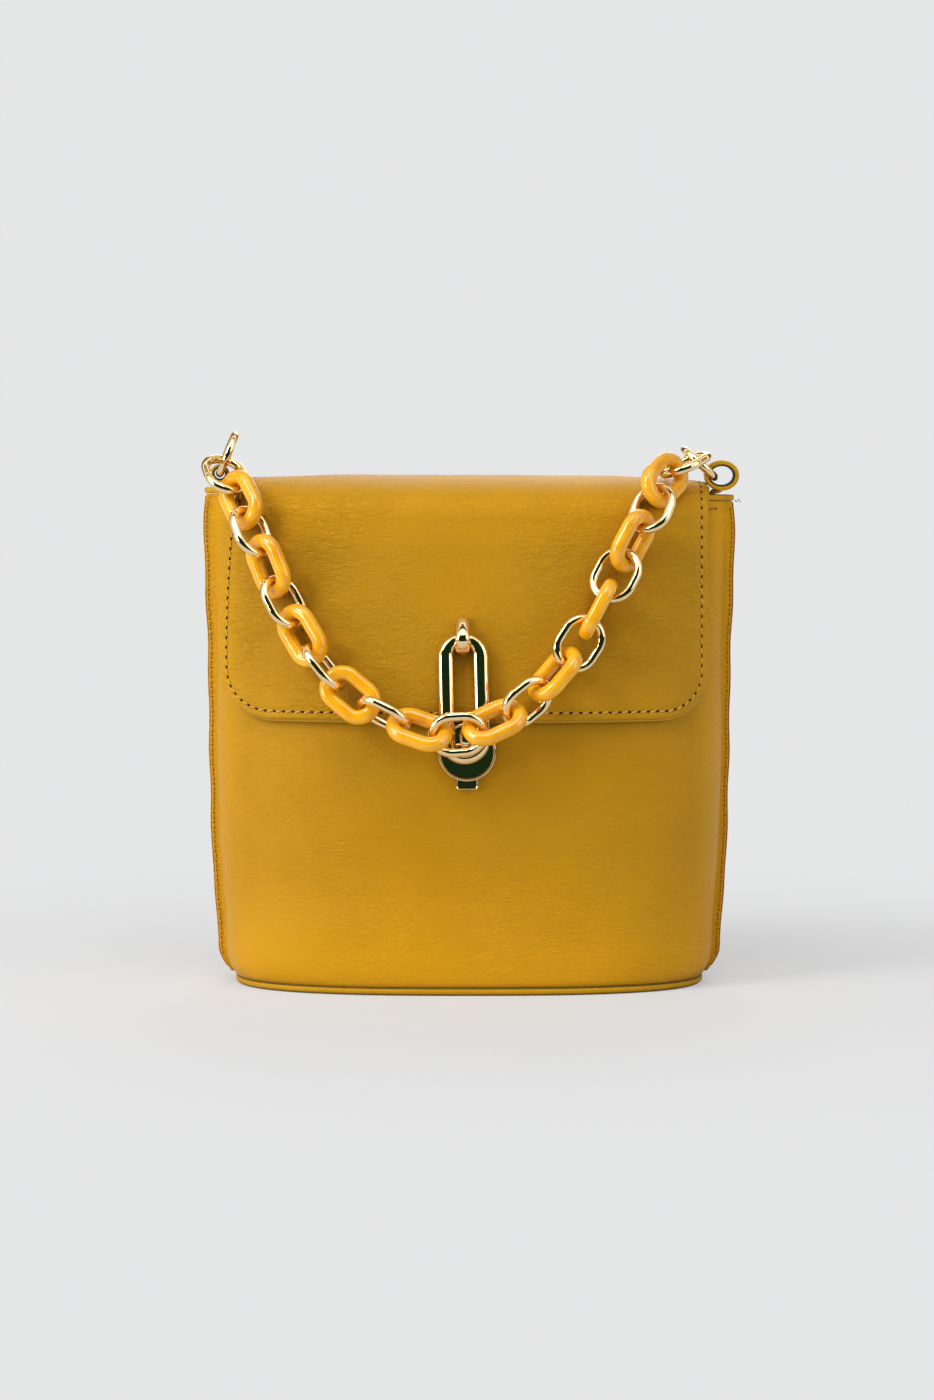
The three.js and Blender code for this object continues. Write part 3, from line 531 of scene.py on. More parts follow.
# One edge paint in two copies: paler and yellower on the left as painted light, darker brown on
# the right as painted shade.
EDGE_PAINT_LIT_LEFT = edge_paint("edge_paint_painted_light_left", "#C88E20", rough=0.5)
EDGE_PAINT_SHADED_RIGHT = edge_paint("edge_paint_painted_shade_right", "#B0661A", rough=0.5)
# Dark seam paint, also used as painted contact shadow at the foot of the base strip.
DARK_SEAM_AND_SHADOW = edge_paint("dark_seam_and_painted_shadow", "#6A5A12", rough=0.6)
GOLD = gold("polished_gold")
GOLD_INNER = gold("inner_gold", "#D8B478", rough=0.25, brushed=0.1)
RESIN = resin("amber_resin")
THREAD = thread("mustard_thread", "#BC860E")
# Paler copy of the same thread, painted light for the stitches on the flap's lit front.
THREAD_LIT = thread("mustard_thread_painted_light", "#E2B03C")
# Painted shade for the insides of needle holes, paler on the body seams.
HOLE_SHADE = plain("needle_hole_painted_shade", "#120B02", rough=0.95)
HOLE_SHADE_SOFT = plain("needle_hole_painted_shade_soft", "#5A3D06", rough=0.9)
LINING = cloth("lining_twill", "#16151C")
TAB_DARK = plain("tab_lining", "#151A22", rough=0.6)
BOARD = plain("fibre_board", "#8F887A", rough=0.9)

# ------------------------------------------------------------------ stitches
BODY_STITCH = dict(pitch=3.9, length=2.7, radius=0.36, hole=HOLE_SHADE_SOFT, hole_size=0.6)
FLAP_STITCH = dict(pitch=3.93, hole=HOLE_SHADE, hole_size=1.0, blend=FLAP_BLEND)
THREAD_ROWS, THREAD_SIDES, HOLE_SIDES = 7, 6, 8
HOLE_PROFILE = ((1.0, -0.30), (0.95, 0.07), (0.4, 0.09))   # relative radius, height


def flattened(vector, normal):
    """Unit vector along the surface with the given normal."""
    vector = vector - normal * (vector @ normal)
    return vector / np.linalg.norm(vector)


def stitches(name, path, normals, pitch, length, radius, slant, sink, hole, hole_size,
             material=THREAD, blend=None):
    """Saddle stitches on a surface path: slanted threads between needle holes, drawn as dark
    lenses of painted shade.
    """
    run = run_length(path)
    count = max(2, int(round(run[-1] / pitch)))

    def sample(s, values):
        return np.array([np.interp(s, run, column) for column in values.T])

    thread_verts, thread_faces, hole_verts, hole_faces = [], [], [], []
    for k in range(count):
        s = (k + 0.5) * run[-1] / count
        centre, normal = sample(s, path), sample(s, normals)
        normal /= np.linalg.norm(normal)
        along = flattened(sample(s + 0.4, path) - sample(s - 0.4, path), normal)
        side = np.cross(normal, along)
        cos_slant, sin_slant = math.cos(slant), math.sin(slant)
        thread_along = along * cos_slant + side * sin_slant
        thread_side = side * cos_slant - along * sin_slant
        start = len(thread_verts)
        for i in range(THREAD_ROWS):
            u = -1 + 2 * i / (THREAD_ROWS - 1)
            thick = radius * max(math.sqrt(max(0.0, 1 - abs(u) ** 3.2)), 0.12)
            lift = radius * 0.55 * (1 - u * u) - sink
            for j in range(THREAD_SIDES):
                angle = 2 * math.pi * j / THREAD_SIDES
                thread_verts.append(centre + thread_along * (u * length / 2)
                                    + thread_side * (math.cos(angle) * thick)
                                    + normal * (math.sin(angle) * thick * 0.75 + lift))
        end = len(thread_verts)
        thread_faces += grid_faces(THREAD_ROWS, THREAD_SIDES, start, wrap_cols=True)
        thread_faces.append(tuple(range(start, start + THREAD_SIDES))[::-1])
        thread_faces.append(tuple(range(end - THREAD_SIDES, end)))

        # needle hole: a small dark lens of painted shade between this thread and the next
        s = min(run[-1], s + run[-1] / count / 2)
        centre, normal = sample(s, path), sample(s, normals)
        normal /= np.linalg.norm(normal)
        along = flattened(along, normal)
        side = np.cross(normal, along)
        start = len(hole_verts)
        for rel, height in HOLE_PROFILE:
            for j in range(HOLE_SIDES):
                angle = 2 * math.pi * j / HOLE_SIDES
                hole_verts.append(centre + along * (math.cos(angle) * rel * 0.72 * hole_size)
                                  + side * (math.sin(angle) * rel * 0.50 * hole_size)
                                  + normal * height)
        end = len(hole_verts)
        hole_faces += grid_faces(len(HOLE_PROFILE), HOLE_SIDES, start, wrap_cols=True)
        hole_faces.append(tuple(range(end - HOLE_SIDES, end)))
        hole_faces.append(tuple(range(start, start + HOLE_SIDES))[::-1])
    make(name, (thread_verts, thread_faces), material, blend=blend)
    make(name + "_holes", (hole_verts, hole_faces), hole, blend=blend)


# ------------------------------------------------------------------ body panels
WALL_T = 2.0
OUTLINE_POINTS = 150
# Heights of the panel's rows, closer together at both edges.
PANEL_Z = np.r_[3.3, 3.7, 4.4, 5.4, 6.8, 8.4, np.linspace(10.4, 193.4, 87), 194.2, 194.8, 195.2]


def body_outline(z, inset, y_min):
    """Front half outline at height z from -x to +x (y < 0)."""
    half_w, half_d = at_z(HALF_W, z) - inset, at_z(HALF_D, z) - inset
    power = at_z(POWER, z)
    first = math.asin(min(1, (y_min / half_d) ** (power / 2)))
    angle = first + (math.pi - 2 * first) * np.linspace(0, 1, OUTLINE_POINTS)
    c, s = -np.cos(angle), np.sin(angle)
    outline = np.stack([half_w * np.sign(c) * np.abs(c) ** (2 / power),
                        -half_d * np.abs(s) ** (2 / power)], 1)
    return resample(outline, count=OUTLINE_POINTS)


def undulate(x, z, side):
    """Soft out-of-flat shape of the leather, outward; at or below zero under the flap."""
    points = np.stack([x, np.full_like(x, 31.0 * side), np.full_like(x, z)], 1)
    out = fractal(points, 62, 2, seed=3.1 + side) * 1.0 + fractal(points, 24, 2, seed=9.7) * 0.28
    if side > 0:
        # front: a swelling low on the left, hollows low on the right and low in the middle
        out += 1.0 * np.exp(-((x + 62) / 26) ** 2 - ((z - 22) / 12) ** 2)
        out -= 0.9 * np.exp(-((x - 84) / 14) ** 2 - ((z - 24) / 14) ** 2)
        out -= 0.7 * np.exp(-((x + 10) / 40) ** 2 - ((z - 36) / 10) ** 2)
        under = np.clip((z - 98) / 12, 0, 1)
        out = out * (1 - under) + (np.minimum(out, 0) * 0.4 - 0.2) * under
    return out * np.clip(z / 10, 0, 1) * np.clip((104 - np.abs(x)) / 16, 0, 1)


def flange_waver(z):
    return 0.35 * np.sin(z * 0.05) + 0.18 * np.sin(z * 0.21 + 1)


def flange_width(z):
    """Seam allowance, narrower near the foot."""
    return FLANGE_W * (0.55 + 0.45 * np.minimum(1, (z - FOOT_Z) / 8)) + flange_waver(z)


def body_panel(side, name, cad):
    """Front (side 1) or back (side -1) panel with a flat flange at both side seams."""
    loops = []
    for z in PANEL_Z:
        outer = body_outline(z, 0, 1.75)
        inner = body_outline(z, WALL_T, 0.15)
        flange = flange_width(z)
        tip = -at_z(HALF_W, z) - flange
        left = np.array([[tip, -0.15], [tip, -0.9], [tip + 0.25, -1.5], [tip + 0.7, -1.75],
                         [tip + flange * 0.5, -1.8]])
        profile = np.vstack([left, outer, left[::-1] * [-1, 1], inner[::-1]])
        heights = tilted(profile[:, 0], z)
        out = undulate(outer[:, 0], z, side)
        out -= 0.45 * math.exp(-((z - 192.0) / 1.5) ** 2)   # pressed in by the mouth stitches
        out -= 0.5 * max(0.0, 1 - (z - FOOT_Z) / 1.6) ** 2  # tucked into the base seam
        # the relief moves points fully in Y but only partly in X
        profile[len(left):len(left) + len(outer)] += (outline_normals(outer) * out[:, None]
                                                      * [0.6, 1.0])
        loops.append(at_height(profile * [1, side], heights))
    make(name, loft(loops), LEATHER, cad=(cad,))


body_panel(1, "body_front_leather", "front_panel")
body_panel(-1, "body_back_leather", "back_panel")


def side_seam(sign, label, material):
    """Painted raw edge of a side seam, and the stitches on both faces of its flange."""
    z = np.linspace(5.5, 194.5, 130)
    x = sign * (at_z(HALF_W, z) + flange_width(z) + 0.02)
    path = np.stack([x, np.zeros_like(x), tilted(x, z)], 1)
    make("side_seam_edge_" + label, sweep(path, Y_AXIS, oval(0.32, 1.62, 2.6, 14), closed=False),
         material)
    z = np.linspace(9, 192, 160)
    x = sign * (at_z(HALF_W, z) + FLANGE_W + flange_waver(z) - 1.05)
    for side, face in ((1, "front"), (-1, "back")):
        path = np.stack([x, np.full_like(x, -1.84 * side), tilted(x, z)], 1)
        stitches("seam_stitches_%s_%s" % (label, face), path,
                 np.tile([0, -1.0 * side, 0], (len(path), 1)), slant=0.14 * sign, sink=0.25,
                 **BODY_STITCH)


# the left edge takes the paler copy of the edge paint as painted light, the right the darker copy
# as painted shade
side_seam(-1, "left", EDGE_PAINT_LIT_LEFT)
side_seam(1, "right", EDGE_PAINT_SHADED_RIGHT)


# ------------------------------------------------------------------ mouth binding
def binding_path():
    """Lens-shaped closed line along the top of both panels, drawn out to a tip at each side."""
    half_w, power = at_z(HALF_W, MOUTH_Z), at_z(POWER, MOUTH_Z)
    curve_w, curve_d = half_w - 0.9, at_z(HALF_D, MOUTH_Z) - 1.9
    tip_x, tip_y = half_w + 2.3, 1.15
    angle = np.linspace(math.pi / 2, math.asin((tip_y / curve_d) ** (power / 2)), 40)
    quarter = np.stack([curve_w * np.clip(np.cos(angle), 0, 1) ** (2 / power),
                        curve_d * np.sin(angle) ** (2 / power)], 1)
    end_x = quarter[-1, 0]
    tip = [[end_x + (tip_x - end_x) * math.sin(u * math.pi / 2) ** 0.9,
            tip_y * math.cos(u * math.pi / 2 * 0.97)] for u in np.linspace(0.15, 1, 8)]
    quarter = np.vstack([quarter, tip])
    back = quarter[::-1]
    whole = np.vstack([quarter, back[1:] * [1, -1], quarter[1:] * [-1, -1],
                       back[1:-1] * [-1, 1]])
    outline = resample(whole, count=300, closed=True)
    x = outline[:, 0]
    return at_height(outline, mouth_z(x) + 1.45 + 0.12 * np.sin(x * 0.11))


make("mouth_binding_leather", sweep(binding_path(), Z_AXIS, oval(1.45, 1.25, 2.8, 18)),
     LEATHER_SOFT, cad=("mouth_binding",))
for side, face in ((1, "front"), (-1, "back")):
    x = np.linspace(-99, 99, 220)
    outline = np.stack([x, -depth(x, 191.8, HALF_D, POWER) * side], 1)
    outward = outline_normals(outline) * side
    stitches("mouth_stitches_" + face, at_height(outline + outward * 0.05, mouth_z(x) - 3.0),
             at_height(outward, 0.25), slant=0.12, sink=0.45, **BODY_STITCH)


# ------------------------------------------------------------------ lining
def lining():
    """Open cloth cup: up its outer wall, then down its softly wrinkled inner wall."""
    def ring(z, inset):
        return even_oval(at_z(HALF_W, z) - inset, at_z(HALF_D, z) - inset, at_z(POWER, z), 160)

    def heights(outline, z, level):
        return level + MOUTH_TILT * outline[:, 0] * max(0, (z - 100) / 92.6)

    levels = np.linspace(5.2, 192.4, 60)
    loops = []
    for z in levels:
        outline = ring(z, inset=2.7)
        loops.append(at_height(outline, heights(outline, z, z)))
    for z in levels[::-1]:
        outline = ring(z, inset=3.5)
        wrinkle = fractal(at_height(outline, z), 30, 3, seed=5.5) * 1.3
        wrinkle *= min(1, (z - 5) / 20) * min(1, (193 - z) / 10)
        radius = np.linalg.norm(outline, axis=1)[:, None]
        outline = outline - outline / radius * np.abs(wrinkle)[:, None]
        loops.append(at_height(outline, heights(outline, z, max(z, 6.0))))
    make("lining_cloth", loft(loops), LINING, cad=("lining",))


lining()

# ------------------------------------------------------------------ base
BASE_POWER = 2.7
sole = even_oval(91.3, 45.0, BASE_POWER, 200)
# (outline scale, z) from the floor up
SOLE_RINGS = ((0.985, 0.0), (1.0, 0.35), (1.0, 2.3), (0.99, 2.6))
make("base_sole_leather", loft([at_height(sole * scale, z) for scale, z in SOLE_RINGS]),
     LEATHER, cad=("base_panel",))
# Strip round the sole, the dark seam above it, and below it a dark band of painted contact shadow
# where the strip meets the floor:
# name, half width and half depth of its line, z, section, material, CAD piece
for name, half_w, half_d, z, section, material, cad in (
        ("base_strip_leather", 93.1, 46.8, 1.62, oval(1.42, 1.22, 3.2, 22), LEATHER_SOFT,
         ("base_welt",)),
        ("base_seam_upper", 93.0, 46.7, 3.05, oval(1.25, 0.34, 2.4, 10), DARK_SEAM_AND_SHADOW, ()),
        # painted contact shadow: a dark band along the foot of the strip
        ("base_painted_contact_shadow", 92.6, 46.3, 0.30, oval(1.2, 0.28, 2.4, 10), DARK_SEAM_AND_SHADOW, ())):
    path = at_height(even_oval(half_w, half_d, BASE_POWER, 260), z)
    make(name, sweep(path, Z_AXIS, section), material, cad=cad)


# ------------------------------------------------------------------ flap shape
# "grow" widens the flap outline all round; the backing uses it to show past the leather.
def rear_y(x, z):
    """Outer face of the flap behind the body, with a gap that opens to the left."""
    return depth(x, z, HALF_D) + (0.6 + 0.5 * np.clip(-x / 90, 0, 1)) + FLAP_T


def left_drift(z):
    return at_z(LEFT_DRIFT, z, 5)


def drift_share(x):
    """Part of the left edge's drift that is felt at x."""
    return np.clip((-x - 62) / 34, 0, 1) ** 1.5


def on_front(y):
    """0 behind the body to 1 on the flap's front."""
    return np.clip(-y / 10, 0, 1)


def fold_step(z):
    """The left end of the fold steps in a little beside the ring."""
    return 3.0 * np.clip((z - 189) / 10, 0, 1)


def flap_bottom(x, grow):
    """Front lower edge with its rounded corners."""
    from_side = FLAP_HALF_W + grow - abs(x)
    radius = FLAP_CORNER_R + grow
    bottom = FLAP_BOTTOM_Z - grow
    if from_side >= radius:
        return bottom
    inward = radius - max(from_side, 0)
    return bottom + radius - math.sqrt(max(radius * radius - inward * inward, 0))


def flap_profile(x, grow=0.0):
    """(y, z) points from the back lower edge over the top to the front lower edge."""
    def fold(y, angle):
        rise = (roof_z(x) - SHOULDER_Z) * np.sin(angle) ** (2 / SHOULDER_POWER)
        return np.stack([y * np.clip(np.cos(angle), 0, 1) ** (2 / SHOULDER_POWER),
                         SHOULDER_Z + rise], 1)

    z_back = np.linspace(STRIP_BACK_Z - grow * 0.6, SHOULDER_Z, 20)[:-1]
    z_front = np.linspace(SHOULDER_Z, flap_bottom(x, grow), 120)[1:]
    angle = np.linspace(0, 1, 40) * math.pi / 2
    return np.vstack([np.stack([rear_y(x, z_back), z_back], 1),
                      fold(rear_y(x, SHOULDER_Z), angle),
                      fold(flap_y(x, SHOULDER_Z), angle[::-1][1:]),
                      np.stack([flap_y(x, z_front), z_front], 1)])


# Grid lines crowd towards the edges, at these distances from them.
EDGE_STEPS = np.array([0, 0.15, 0.35, 0.65, 1.0, 1.45, 2.0, 2.7, 3.5, 4.5, 6.0,
                       8.0, 10.2, 12.6, 15.2])


def flap_rows(length):
    near = EDGE_STEPS[:11] * min(1, length / 60)
    return np.r_[near, np.linspace(near[-1], length - near[-1], 96)[1:-1], (length - near)[::-1]]


def flap_grid(grow=0.0):
    edge = FLAP_HALF_W + grow
    columns = []
    for x in np.r_[-edge + EDGE_STEPS, np.linspace(-edge + 17.5, edge - 17.5, 88),
                   (edge - EDGE_STEPS)[::-1]]:
        profile = flap_profile(x, grow)
        run = run_length(profile)
        wanted = flap_rows(run[-1])
        y, z = (np.interp(wanted, run, profile[:, i]) for i in (0, 1))
        columns.append(np.stack([np.full_like(y, x), y, z], 1))
    grid = np.array(columns)
    x, y, z = np.moveaxis(grid, 2, 0)
    step = fold_step(z) * np.clip((-x - 66) / 30, 0, 1) ** 1.5
    grid[..., 0] += step - left_drift(z) * drift_share(x) * on_front(y)
    return grid


def grid_normals(grid):
    """Unit normals of the grid, pointing outward."""
    normals = np.cross(np.gradient(grid, axis=0), np.gradient(grid, axis=1))
    normals /= np.linalg.norm(normals, axis=2)[..., None] + 1e-12
    if normals[normals.shape[0] // 2, -20, 1] > 0:
        normals = -normals
    return normals


def edge_distance(grid, grow=0.0):
    """Distance to the flap's sides, rounded front bottom and back lower edge, seen flat."""
    x, y, z = np.moveaxis(grid, 2, 0)
    x_left = -(FLAP_HALF_W + grow) - left_drift(z) * on_front(y) + fold_step(z)
    to_side = np.minimum(x - x_left, FLAP_HALF_W + grow - x)
    radius = FLAP_CORNER_R + grow
    to_bottom = np.where(y < -5, z - (FLAP_BOTTOM_Z - grow), 99)
    in_corner = (to_side < radius) & (to_bottom < radius)
    to_corner = radius - np.sqrt(np.clip(radius - to_side, 0, None) ** 2
                                 + np.clip(radius - to_bottom, 0, None) ** 2)
    front = np.where(in_corner, to_corner, np.minimum(to_side, to_bottom))
    back = np.where((y > 5) & (z < 190), z - (STRIP_BACK_Z - grow * 0.6), 99)
    return np.clip(np.minimum(front, back), 0, None)


def flap_relief(grid, edge):
    """Outward relief of the flap's face at the given distances from its edge."""
    points = grid.reshape(-1, 3)
    out = fractal(points, 58, 2, seed=1.7) * 0.75 + fractal(points, 21, 2, seed=4.4) * 0.22
    out = out.reshape(edge.shape) * np.clip(edge / 14, 0, 1)
    out -= 0.42 * np.exp(-((edge - 2.9) / 0.85) ** 2)     # stitch line pulls in
    out += 0.14 * np.exp(-((edge - 5.6) / 1.3) ** 2)      # and the leather swells beside it
    round_w = 1.7
    near = np.clip((round_w - edge) / round_w, 0, 1)
    return out - 1.05 * (1 - np.sqrt(np.clip(1 - near ** 2.2, 0, 1)))   # rounded cut edge


flap_base = flap_grid()
flap_normals = grid_normals(flap_base)
flap_outer = flap_base + flap_normals * flap_relief(flap_base, edge_distance(flap_base))[..., None]
make("flap_leather", slab(flap_outer, flap_base - flap_normals * 1.5), LEATHER_FLAP,
     cad=("flap_outer", "flap_rear_strip"), blend=FLAP_BLEND)


def flap_backing():
    """Second layer under the flap leather, showing past it all round."""
    grow = 0.75
    grid = flap_grid(grow)
    normals = grid_normals(grid)
    near = np.clip((0.6 - edge_distance(grid, grow)) / 0.6, 0, 1)[..., None]
    thinning = 0.25 * near ** 2
    make("flap_backing", slab(grid - normals * (1.62 + thinning),
                              grid - normals * (2.55 - thinning)), BACKING,
         cad=("flap_lining",), blend=FLAP_BLEND)


flap_backing()

# ------------------------------------------------------------------ flap stitches
INSET, INSET_LEFT = 3.0, 2.5          # stitch line from the edge; closer on the left
REAR_STITCH_Z = STRIP_BACK_Z + 3.3
CORNER_Z = FLAP_BOTTOM_Z + FLAP_CORNER_R
CORNER_X = FLAP_HALF_W - FLAP_CORNER_R
STITCH_R = FLAP_CORNER_R - INSET

surface = flap_outer.reshape(-1, 3)
surface_normals = flap_normals.reshape(-1, 3)
surface_tree = KDTree(len(surface))
for i, point in enumerate(surface):
    surface_tree.insert(Vector(point), i)
surface_tree.balance()


def onto_flap(points):
    """Points moved along the normal onto the flap's face and smoothed, with their normals."""
    moved, normals = [], []
    for point in points:
        hits = surface_tree.find_n(Vector(point), 6)
        weights = np.array([1 / (distance + 0.05) ** 2 for _, _, distance in hits])[:, None]
        ids = [index for _, index, _ in hits]
        normal = (surface_normals[ids] * weights).sum(0)
        normal /= np.linalg.norm(normal)
        nearest = (surface[ids] * weights).sum(0) / weights.sum()
        moved.append(point + normal * ((nearest - point) @ normal))
        normals.append(normal)
    moved = np.array(moved)
    for _ in range(2):
        moved[1:-1] = (moved[:-2] + 2 * moved[1:-1] + moved[2:]) / 4
    return moved, np.array(normals)


def side_run(sign):
    """Stitch line of one side, from the back over the fold down to the corner."""
    x = sign * (FLAP_HALF_W - (INSET_LEFT if sign < 0 else INSET))
    run = [(y, z) for y, z in flap_profile(x)
           if z > (REAR_STITCH_Z if y > 0 else SHOULDER_Z)]
    run += [(flap_y(x, z), z) for z in np.linspace(185, CORNER_Z, 40)]
    if sign > 0:
        return [(x, y, z) for y, z in run]
    return [(x - left_drift(z) * on_front(y) + fold_step(z), y, z) for y, z in run]


def front_run(points, undo_drift=0.0):
    """(x, z) points set on the flap's front, its depth taken at x without the drift."""
    out = []
    for x, z in points:
        flat_x = x + undo_drift * left_drift(z) * drift_share(x)
        out.append((x, flap_y(np.clip(flat_x, -FLAP_HALF_W, FLAP_HALF_W), z), z))
    return out


def flap_stitch_path():
    left = []
    for angle in np.linspace(0, math.pi / 2, 24):
        z = CORNER_Z - STITCH_R * math.sin(angle)
        drift = left_drift(z) * (0.55 + 0.45 * math.cos(angle))
        reach = (STITCH_R + INSET - INSET_LEFT) * math.cos(angle)
        left.append((-CORNER_X - reach - drift, z))
    right = [(CORNER_X + STITCH_R * math.cos(angle), CORNER_Z - STITCH_R * math.sin(angle))
             for angle in np.linspace(math.pi / 2, 0, 24)]
    bottom = [(x, FLAP_BOTTOM_Z + INSET)
              for x in np.linspace(left[-1][0] + 1, right[0][0] - 1, 120)]
    return resample(side_run(-1) + front_run(left, undo_drift=1.0) + front_run(bottom)
                    + front_run(right) + side_run(1)[::-1], step=0.8)


stitches("flap_stitches", *onto_flap(flap_stitch_path()), length=2.9, radius=0.38, slant=0.34,
         sink=0.05, material=THREAD_LIT, **FLAP_STITCH)
x = np.linspace(-FLAP_HALF_W + INSET, FLAP_HALF_W - INSET, 220)
rear_line = np.stack([x, rear_y(x, REAR_STITCH_Z), np.full_like(x, REAR_STITCH_Z)], 1)
stitches("rear_strip_stitches", *onto_flap(rear_line), length=2.75, radius=0.40, slant=0.17,
         sink=0.08, **FLAP_STITCH)

# ------------------------------------------------------------------ clasp
BAIL_X, BAIL_LOW_Z, BAIL_HIGH_Z = -2.6, 136.0, 148.4
# Long loop: centres of its two ends, outer size, and bar width on the straights and the bends
HASP_TOP, HASP_BOTTOM = np.array([-2.6, -46.6, 141.0]), np.array([-1.6, -52.8, 94.9])
HASP_L, HASP_W, HASP_BAR, HASP_WIRE = 46.5, 13.8, 6.2, 4.8
LOCK_X, LOCK_Z, LOCK_R, KNOB_Z = -0.9, 96.7, 11.4, 102.8
LOCK_BACK_Y = -46.6


def clasp_bail():
    """Bent bar through the flap that holds the long loop."""
    low_y, high_y = flap_y(BAIL_X, BAIL_LOW_Z), flap_y(BAIL_X, BAIL_HIGH_Z)
    path = catmull([
        [BAIL_X, low_y + 3.0, BAIL_LOW_Z], [BAIL_X, low_y - 1.8, BAIL_LOW_Z],
        [BAIL_X, low_y - 5.4, BAIL_LOW_Z + 1.2],
        [BAIL_X, low_y - 7.6, (BAIL_LOW_Z + BAIL_HIGH_Z) / 2 - 0.6],
        [BAIL_X, high_y - 6.6, BAIL_HIGH_Z - 2.6],
        [BAIL_X, high_y - 2.6, BAIL_HIGH_Z], [BAIL_X, high_y + 3.0, BAIL_HIGH_Z]], 9)
    sections = []
    for u in np.linspace(0, 1, len(path)):
        bulge = 1 + 0.10 * np.sin(u * math.pi)
        thick = 1.40 + 0.30 * math.exp(-((u - 0.34) / 0.26) ** 2)
        wide = 2.35 + 0.30 * math.exp(-((u - 0.34) / 0.30) ** 2)
        sections.append(oval(thick * bulge, wide * bulge, 2.0, 28))
    make("clasp_bail", sweep(path, X_AXIS, np.stack(sections), closed=False), GOLD,
         "flap", ("hasp_staple",))


def clasp_loop():
    along = HASP_BOTTOM - HASP_TOP
    along /= np.linalg.norm(along)
    side = np.cross(along, [0, -1, 0])
    side /= np.linalg.norm(side)
    rotation = np.stack([along, side, np.cross(along, side)], 1)
    path = at_height(stadium(HASP_L, HASP_W, 144), 0.0)
    bend = np.abs(tangents(path, True)[:, 1]) ** 1.2
    bars = HASP_BAR + (HASP_WIRE - HASP_BAR) * bend
    sections = np.stack([oval(bar / 2, HASP_WIRE * 0.48, 2.15, 32) for bar in bars])
    make("clasp_loop", place(sweep(path, Z_AXIS, sections), rotation,
                             (HASP_TOP + HASP_BOTTOM) / 2),
         GOLD, "hasp", ("hasp_loop",))


def lock_disc():
    """Mirror disc with a fine raised rim."""
    front, face = -48.9, -48.9 + 0.28
    # (radius, y) from the back, round the rim to the middle of the face
    profile = ((LOCK_R - 0.5, LOCK_BACK_Y), (LOCK_R, LOCK_BACK_Y - 0.3), (LOCK_R, front + 0.25),
               (LOCK_R - 0.12, front + 0.02), (LOCK_R - 0.45, front - 0.04),
               (LOCK_R - 0.72, front + 0.06), (LOCK_R - 0.90, front + 0.24),
               (LOCK_R - 0.94, front + 0.27), (LOCK_R - 1.00, face), (LOCK_R - 1.2, face),
               (LOCK_R * 0.6, face), (LOCK_R * 0.25, face))
    make("lock_disc", loft([upright(oval(radius, radius, count=96), LOCK_X, y, LOCK_Z)
                            for radius, y in profile]), GOLD, cad=("lock_plate",))


def lock_tab():
    """Small plate under the disc, with rounded lower corners and a raised rim."""
    half_w, top, bottom = 4.4, LOCK_Z - LOCK_R + 2.2, LOCK_Z - LOCK_R - 3.4
    outline = []
    # sign of x, corner height, radius, start angle
    for sign, corner, radius, start in ((1, bottom + 1.2, 1.2, -90), (1, top - 0.3, 0.3, 0),
                                        (-1, top - 0.3, 0.3, 90), (-1, bottom + 1.2, 1.2, 180)):
        for turn in np.linspace(0, 90, 7):
            angle = math.radians(start + turn)
            outline.append((sign * (half_w - radius) + radius * math.cos(angle),
                            corner + radius * math.sin(angle)))
    outline = np.array(outline)
    centre = outline.mean(0)
    # (outline scale, y) from the back to the face
    rings = ((0.96, LOCK_BACK_Y), (1.0, -46.9), (1.0, -48.25), (0.985, -48.45), (0.93, -48.5),
             (0.90, -48.46), (0.86, -48.25), (0.85, -48.22), (0.83, -48.21), (0.80, -48.21),
             (0.5, -48.21))
    make("lock_tab", loft([upright(centre + (outline - centre) * scale, LOCK_X, y, 0.0)
                           for scale, y in rings]), GOLD)


def clasp_knob():
    """Oval head on a necked stem."""
    # (y, half width, half height) from the back forward
    stations = ((-36.0, 2.05, 2.05), (-48.0, 2.05, 2.05), (-50.2, 1.9, 1.9), (-52.6, 1.75, 1.8),
                (-53.8, 2.1, 2.7), (-54.6, 2.6, 3.8), (-55.1, 2.8, 4.1), (-55.8, 2.8, 4.1),
                (-56.2, 2.5, 3.7), (-56.5, 1.8, 2.8), (-56.6, 0.7, 1.1))
    make("clasp_knob", loft([upright(oval(half_w, half_h, 2.3, 32), LOCK_X, y, KNOB_Z)
                             for y, half_w, half_h in stations]),
         GOLD, "knob", ("turn_knob",))


clasp_bail()
clasp_loop()
lock_disc()
lock_tab()
clasp_knob()

# ------------------------------------------------------------------ chain and its end rings
# Path length, path width, wire, section power, path points
GOLD_LINK = (20.4, 15.8, 3.56, 2.0, 96)
RESIN_LINK = (20.8, 12.4, 5.8, 2.25, 76)
